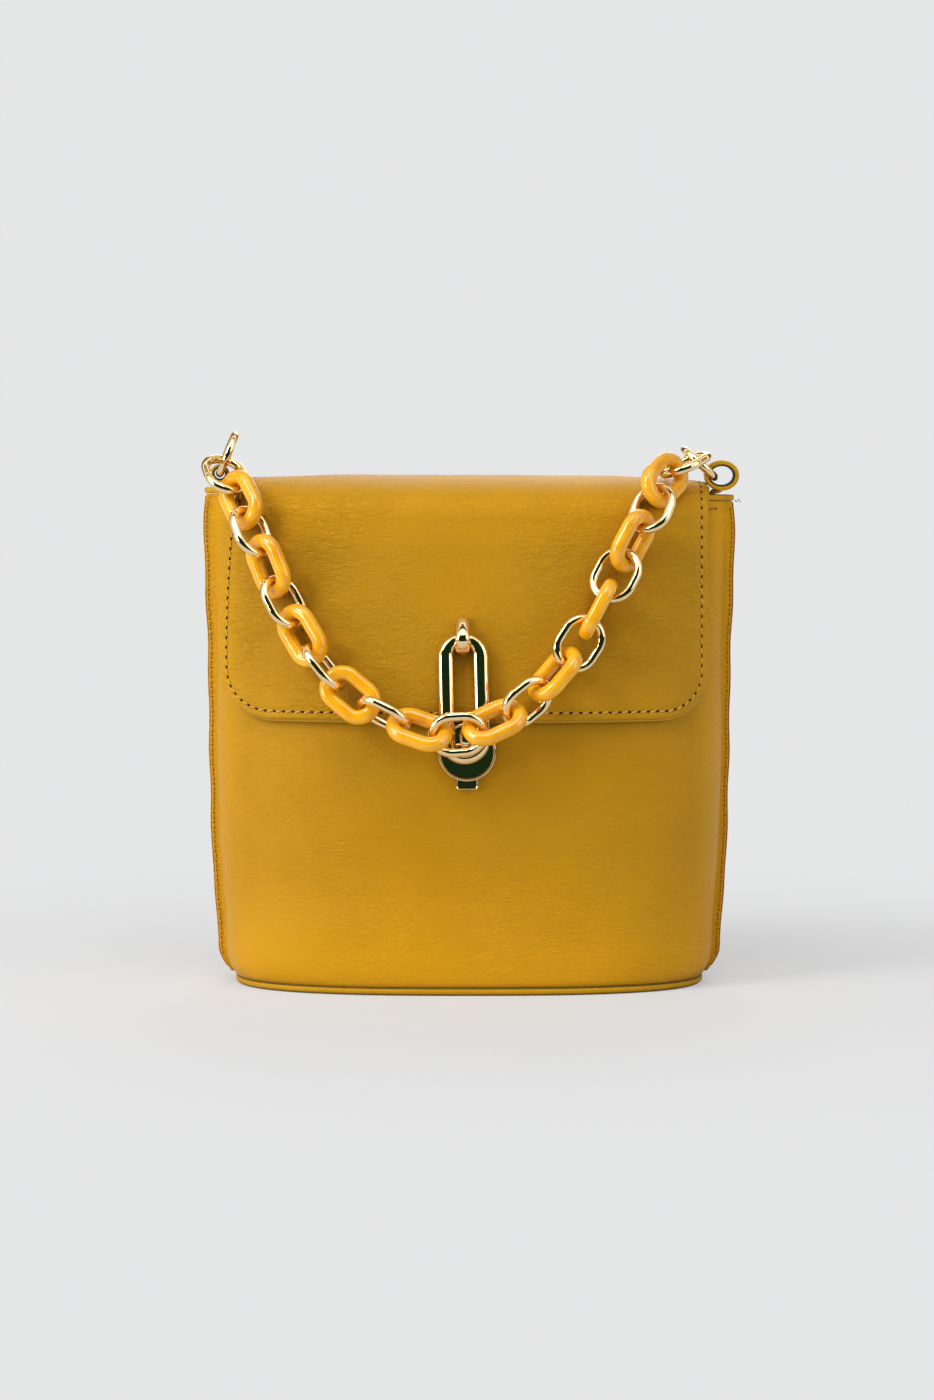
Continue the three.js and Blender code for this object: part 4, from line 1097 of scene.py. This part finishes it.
# Links from left to right, gold and resin by turns: centre x, y, z, quaternion x, y, z, w
LINKS = [
    [-96.9, -16.33, 204.71, 0.121459, 0.291217, -0.536093, 0.782972],
    [-90.47, -26.28, 194.85, 0.632799, 0.022345, -0.552695, 0.541844],
    [-85.66, -34.39, 182.58, 0.141405, 0.450054, -0.376586, 0.797269],
    [-79.01, -38.34, 169.29, 0.738429, 0.161369, -0.536525, 0.375265],
    [-72.77, -41.75, 155.53, 0.250216, 0.444859, -0.272289, 0.815691],
    [-65.52, -45.63, 142.37, 0.717923, 0.118863, -0.486621, 0.483381],
    [-56.9, -50.66, 130.55, 0.054689, 0.40994, -0.152277, 0.897647],
    [-46.42, -53.81, 119.69, 0.589439, 0.178206, -0.305015, 0.726478],
    [-33.36, -56.97, 112.09, 0.935963, -0.049628, -0.239427, 0.253347],
    [-19.49, -61.17, 106.69, 0.332693, 0.094259, -0.173573, 0.922119],
    [-4.38, -61.78, 104.87, 0.829532, -0.009405, 0.027632, 0.557696],
    [9.84, -61.06, 109.64, 0.344965, -0.148285, 0.182384, 0.908706],
    [22.67, -56.71, 117.1, 0.827169, -0.044398, 0.338647, 0.44625],
    [33.44, -53.61, 127.77, 0.175026, -0.371322, 0.206534, 0.888161],
    [42.98, -50.27, 139.52, 0.666431, -0.22959, 0.420665, 0.571138],
    [50.43, -47.48, 152.81, -0.084216, -0.512707, 0.080096, 0.850661],
    [57.4, -43.37, 166.0, 0.410527, -0.35958, 0.382158, 0.745738],
    [64.3, -39.61, 179.31, 0.77764, -0.098756, 0.507367, 0.357914],
    [71.81, -34.71, 191.78, 0.220128, -0.386578, 0.434571, 0.783103],
    [77.33, -25.79, 202.78, 0.605065, 0.066557, 0.484491, 0.62828],
    [86.11, -14.43, 208.58, -0.025397, -0.184751, 0.422295, 0.887068],
]
RING_R, RING_WIRE = 8.2, 3.2
# Label, centre, lean, yaw in radians
RINGS = (("left", (-97.03, -4.27, 212.55), 0.382, 0.0731),
         ("right", (92.46, -2.77, 208.87), -0.83945, 0.00018))


def link_mesh(length, width, wire, power, count):
    return sweep(at_height(stadium(length, width, count), 0.0), Z_AXIS,
                 oval(wire / 2, wire / 2, power, 24))


def quat_matrix(x, y, z, w):
    return np.array([
        [1 - 2 * (y * y + z * z), 2 * (x * y - z * w), 2 * (x * z + y * w)],
        [2 * (x * y + z * w), 1 - 2 * (x * x + z * z), 2 * (y * z - x * w)],
        [2 * (x * z - y * w), 2 * (y * z + x * w), 1 - 2 * (x * x + y * y)]])


for i, row in enumerate(LINKS):
    if i % 2 == 0:
        kind, size, material, number = "gold", GOLD_LINK, GOLD, i // 2
    else:
        kind, size, material, number = "resin", RESIN_LINK, RESIN, (i + 1) // 2
    cad = "link_%s_%02d" % (kind, number)
    body = "chain" if i in (0, len(LINKS) - 1) else cad
    make("smooth_" + cad, place(link_mesh(*size), quat_matrix(*row[3:]), row[:3]), material,
         body, (cad,))

for label, centre, lean, yaw in RINGS:
    level = np.array([-math.sin(yaw), math.cos(yaw), 0])
    rising = np.array([math.sin(lean) * math.cos(yaw), math.sin(lean) * math.sin(yaw),
                       math.cos(lean)])
    circle = oval(RING_R, RING_R, count=84)
    path = np.array(centre) + circle[:, :1] * level + circle[:, 1:] * rising
    make("smooth_ring_" + label,
         sweep(path, np.cross(level, rising), oval(RING_WIRE / 2, RING_WIRE / 2, count=24)),
         GOLD, "ring_" + label, ("tab_ring_" + label,))


# ------------------------------------------------------------------ leather ring tabs
def ring_tab(name, cad, centre, half_w, half_h, thick, width, tail):
    """Strap bent into an oval eye in the X-Z plane, with a tail of (x, z) points."""
    x, y, z = centre

    def eye(grow):
        return upright(oval(half_w + grow, half_h + grow, count=90), x, y, z)

    make(name, sweep(eye(thick / 2), Y_AXIS, oval(thick / 2, width / 2, 5.0, 20)),
         LEATHER_SOFT, cad=(cad,))
    make(name + "_inside", sweep(eye(-0.12), Y_AXIS, oval(0.34, width / 2 + 0.04, 5.0, 12)),
         TAB_DARK)
    line = catmull(tail, 8)
    path = np.stack([line[:, 0], np.linspace(y, -1.3, len(line)), line[:, 1]], 1)
    make(name + "_tail", sweep(path, Y_AXIS, oval(1.1, 1.35, 4.0, 16), closed=False),
         LEATHER_SOFT)


ring_tab("ring_tab_left", "strap_tab_left", centre=(-100.1, -4.0, 204.9), half_w=2.6,
         half_h=2.5, thick=1.2, width=4.4,
         tail=[(-100.3, 201.6), (-99.4, 199.6), (-97.4, 197.2), (-96.6, 191), (-96.6, 185)])
ring_tab("ring_tab_right", "strap_tab_right", centre=(101.3, -2.8, 204.1), half_w=5.1,
         half_h=4.2, thick=1.9, width=7.0,
         tail=[(101.6, 199.2), (100.4, 198.2), (97.6, 197.0), (96.8, 191), (96.8, 185)])

# a loose thread end at the right of the binding
loose_end = catmull([[106.6, -0.6, 194.2], [107.6, -1.2, 193.6], [108.4, -1.4, 194.4],
                     [109.2, -1.2, 193.2]], 6)
make("loose_thread", sweep(loose_end, Y_AXIS, oval(0.16, 0.16, count=6), closed=False), THREAD)

# ------------------------------------------------------------------ pieces kept from the CAD
for node, material in (("base_board", BOARD), ("lock_backplate", GOLD_INNER),
                       ("knob_retainer", GOLD_INNER), ("staple_washer", GOLD_INNER)):
    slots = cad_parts[node].data.materials
    slots.clear()
    slots.append(material)

# ------------------------------------------------------------------ stage (metres)
BACKDROP = (0.790, 0.793, 0.80, 1)
DARK_FRONT = (0.010, 0.028, 0.014, 1)     # dark green room reflected from the front
FLOOR_HALF = 9.0


def floor_material():
    """Paper that fades into the backdrop, and reflects as dark far in front of the bag."""
    mat = Shader("floor_paper")
    mat.set(Base_Color=(0.80, 0.805, 0.81, 1), Roughness=0.75, Specular_IOR_Level=0.1)
    backdrop = mat.add("ShaderNodeEmission", {"Color": BACKDROP}).outputs[0]
    radius = mat.add("ShaderNodeVectorMath", {0: mat.coords}, operation="LENGTH")
    fade = mat.add("ShaderNodeMapRange", {"Value": radius.outputs["Value"], "From Min": 0.13,
                                          "From Max": 0.42}, interpolation_type="SMOOTHSTEP")
    paper = mat.mix_shaders(fade.outputs["Result"], mat.bsdf.outputs[0], backdrop)
    xyz = mat.add("ShaderNodeSeparateXYZ", {0: mat.coords})
    far = mat.add("ShaderNodeMapRange", {"Value": xyz.outputs["Y"], "From Min": -0.42,
                                         "From Max": -0.50})
    ray = mat.add("ShaderNodeLightPath").outputs
    far_glossy = mat.add("ShaderNodeMath", {0: far.outputs["Result"], 1: ray["Is Glossy Ray"]},
                         operation="MULTIPLY")
    dark = mat.add("ShaderNodeEmission", {"Color": DARK_FRONT})
    reflected = mat.mix_shaders(far_glossy.outputs[0], paper, dark.outputs[0])
    # the camera sees the paper half way to the backdrop, which softens the shadows
    half = mat.add("ShaderNodeMath", {0: ray["Is Camera Ray"], 1: 0.5}, operation="MULTIPLY")
    seen = mat.mix_shaders(half.outputs[0], reflected, backdrop)
    plug(mat.tree, mat.tree.nodes["Material Output"].inputs["Surface"], seen)
    return mat.material


def floor():
    data = bpy.data.meshes.new("floor")
    s = FLOOR_HALF
    data.from_pydata([(-s, -s, 0), (s, -s, 0), (s, s, 0), (-s, s, 0)], [], [(0, 1, 2, 3)])
    obj = bpy.data.objects.new("floor", data)
    scene.collection.objects.link(obj)
    data.materials.append(floor_material())


# Colours seen in reflections, by direction: 0 is straight back (+Y), 1 straight front (-Y).
REFLECTION_BACK = (0.55, 0.50, 0.42, 1)
REFLECTION_BANDS = (
    (0.14, (0.10, 0.075, 0.035, 1)), (0.24, (0.14, 0.10, 0.05, 1)), (0.27, (1.1, 1.02, 0.9, 1)),
    (0.35, (1.4, 1.34, 1.2, 1)), (0.368, (0.30, 0.22, 0.12, 1)), (0.400, (0.26, 0.19, 0.10, 1)),
    (0.418, (1.3, 1.24, 1.12, 1)), (0.445, (1.3, 1.24, 1.12, 1)),
    (0.465, (0.12, 0.085, 0.04, 1)), (0.515, (0.09, 0.06, 0.025, 1)),
    (0.535, (1.7, 1.62, 1.5, 1)), (0.62, (2.0, 1.9, 1.8, 1)), (0.640, (0.34, 0.26, 0.14, 1)),
    (0.668, (0.30, 0.22, 0.12, 1)), (0.688, (2.0, 1.9, 1.8, 1)), (0.735, (2.2, 2.1, 2.0, 1)),
    (0.77, (0.9, 0.72, 0.40, 1)), (0.80, (0.07, 0.06, 0.025, 1)), (0.86, DARK_FRONT))


def studio_world():
    """Plain backdrop for the camera, light bands for reflections, dim fill for the rest."""
    world = bpy.data.worlds.new("studio")
    scene.world = world
    world.use_nodes = True
    tree = world.node_tree
    tree.nodes.clear()
    ray = add_node(tree, "ShaderNodeLightPath").outputs
    backdrop = add_node(tree, "ShaderNodeBackground", {"Color": BACKDROP})
    coords = add_node(tree, "ShaderNodeTexCoord")
    facing = add_node(tree, "ShaderNodeVectorMath",
                      {0: coords.outputs["Generated"], 1: (0.0, -1.0, 0.0)},
                      operation="DOT_PRODUCT")
    position = add_node(tree, "ShaderNodeMapRange", {"Value": facing.outputs["Value"],
                                                     "From Min": -1, "From Max": 1})
    bands = add_node(tree, "ShaderNodeValToRGB", {"Fac": position.outputs["Result"]})
    elements = bands.color_ramp.elements
    elements[0].position, elements[0].color = 0.0, REFLECTION_BACK
    elements[1].position, elements[1].color = 1.0, DARK_FRONT
    for stop, colour in REFLECTION_BANDS:
        elements.new(stop).color = colour
    reflected = add_node(tree, "ShaderNodeBackground", {"Color": bands.outputs["Color"]})
    fill = add_node(tree, "ShaderNodeBackground", {"Color": (0.94, 0.96, 1.0, 1),
                                                   "Strength": 0.25})
    lighting = add_node(tree, "ShaderNodeMixShader", {
        0: ray["Is Glossy Ray"], 1: fill.outputs[0], 2: reflected.outputs[0]})
    seen = add_node(tree, "ShaderNodeMixShader", {
        0: ray["Is Camera Ray"], 1: lighting.outputs[0], 2: backdrop.outputs[0]})
    add_node(tree, "ShaderNodeOutputWorld", {"Surface": seen.outputs[0]})


def area(name, place, aim_z, size, power, colour=(1, 1, 1)):
    """Area light of (width, height) aimed at the bag's axis at aim_z."""
    light = bpy.data.lights.new(name, "AREA")
    light.shape = "RECTANGLE"
    light.size, light.size_y = size
    light.energy = power
    light.color = colour
    obj = bpy.data.objects.new(name, light)
    obj.location = place
    obj.rotation_mode = "QUATERNION"
    aim = Vector((0, 0, aim_z)) - Vector(place)
    obj.rotation_quaternion = aim.to_track_quat("-Z", "Y")
    scene.collection.objects.link(obj)


def camera():
    data = bpy.data.cameras.new("camera")
    data.sensor_fit = "AUTO"
    data.sensor_width = 36.0
    data.lens = 100.0
    data.clip_start, data.clip_end = 0.05, 60
    obj = bpy.data.objects.new("camera", data)
    scene.collection.objects.link(obj)
    obj.location = (-0.0009, -1.567, 0.240)
    obj.rotation_euler = (math.radians(90 - 4.62), 0, 0)   # looking slightly down
    scene.camera = obj


floor()
studio_world()
WARM = (1.0, 0.985, 0.96)
area("key_left", (-1.15, -0.85, 1.15), aim_z=0.12, size=(0.60, 0.75), power=14.5, colour=WARM)
area("fill_right", (1.35, -1.0, 0.7), aim_z=0.10, size=(0.9, 1.2), power=5.4,
     colour=(1.0, 0.99, 0.98))
area("low_left", (-1.3, -0.7, 0.25), aim_z=0.05, size=(0.7, 0.4), power=6.5, colour=WARM)
area("top_soft", (0.0, -0.80, 1.6), aim_z=0.1, size=(0.9, 0.9), power=7.5)
area("rear_soft", (0.2, 1.4, 1.0), aim_z=0.1, size=(1.0, 1.0), power=6)
camera()
scene.view_settings.view_transform = "Standard"
scene.view_settings.look = "None"
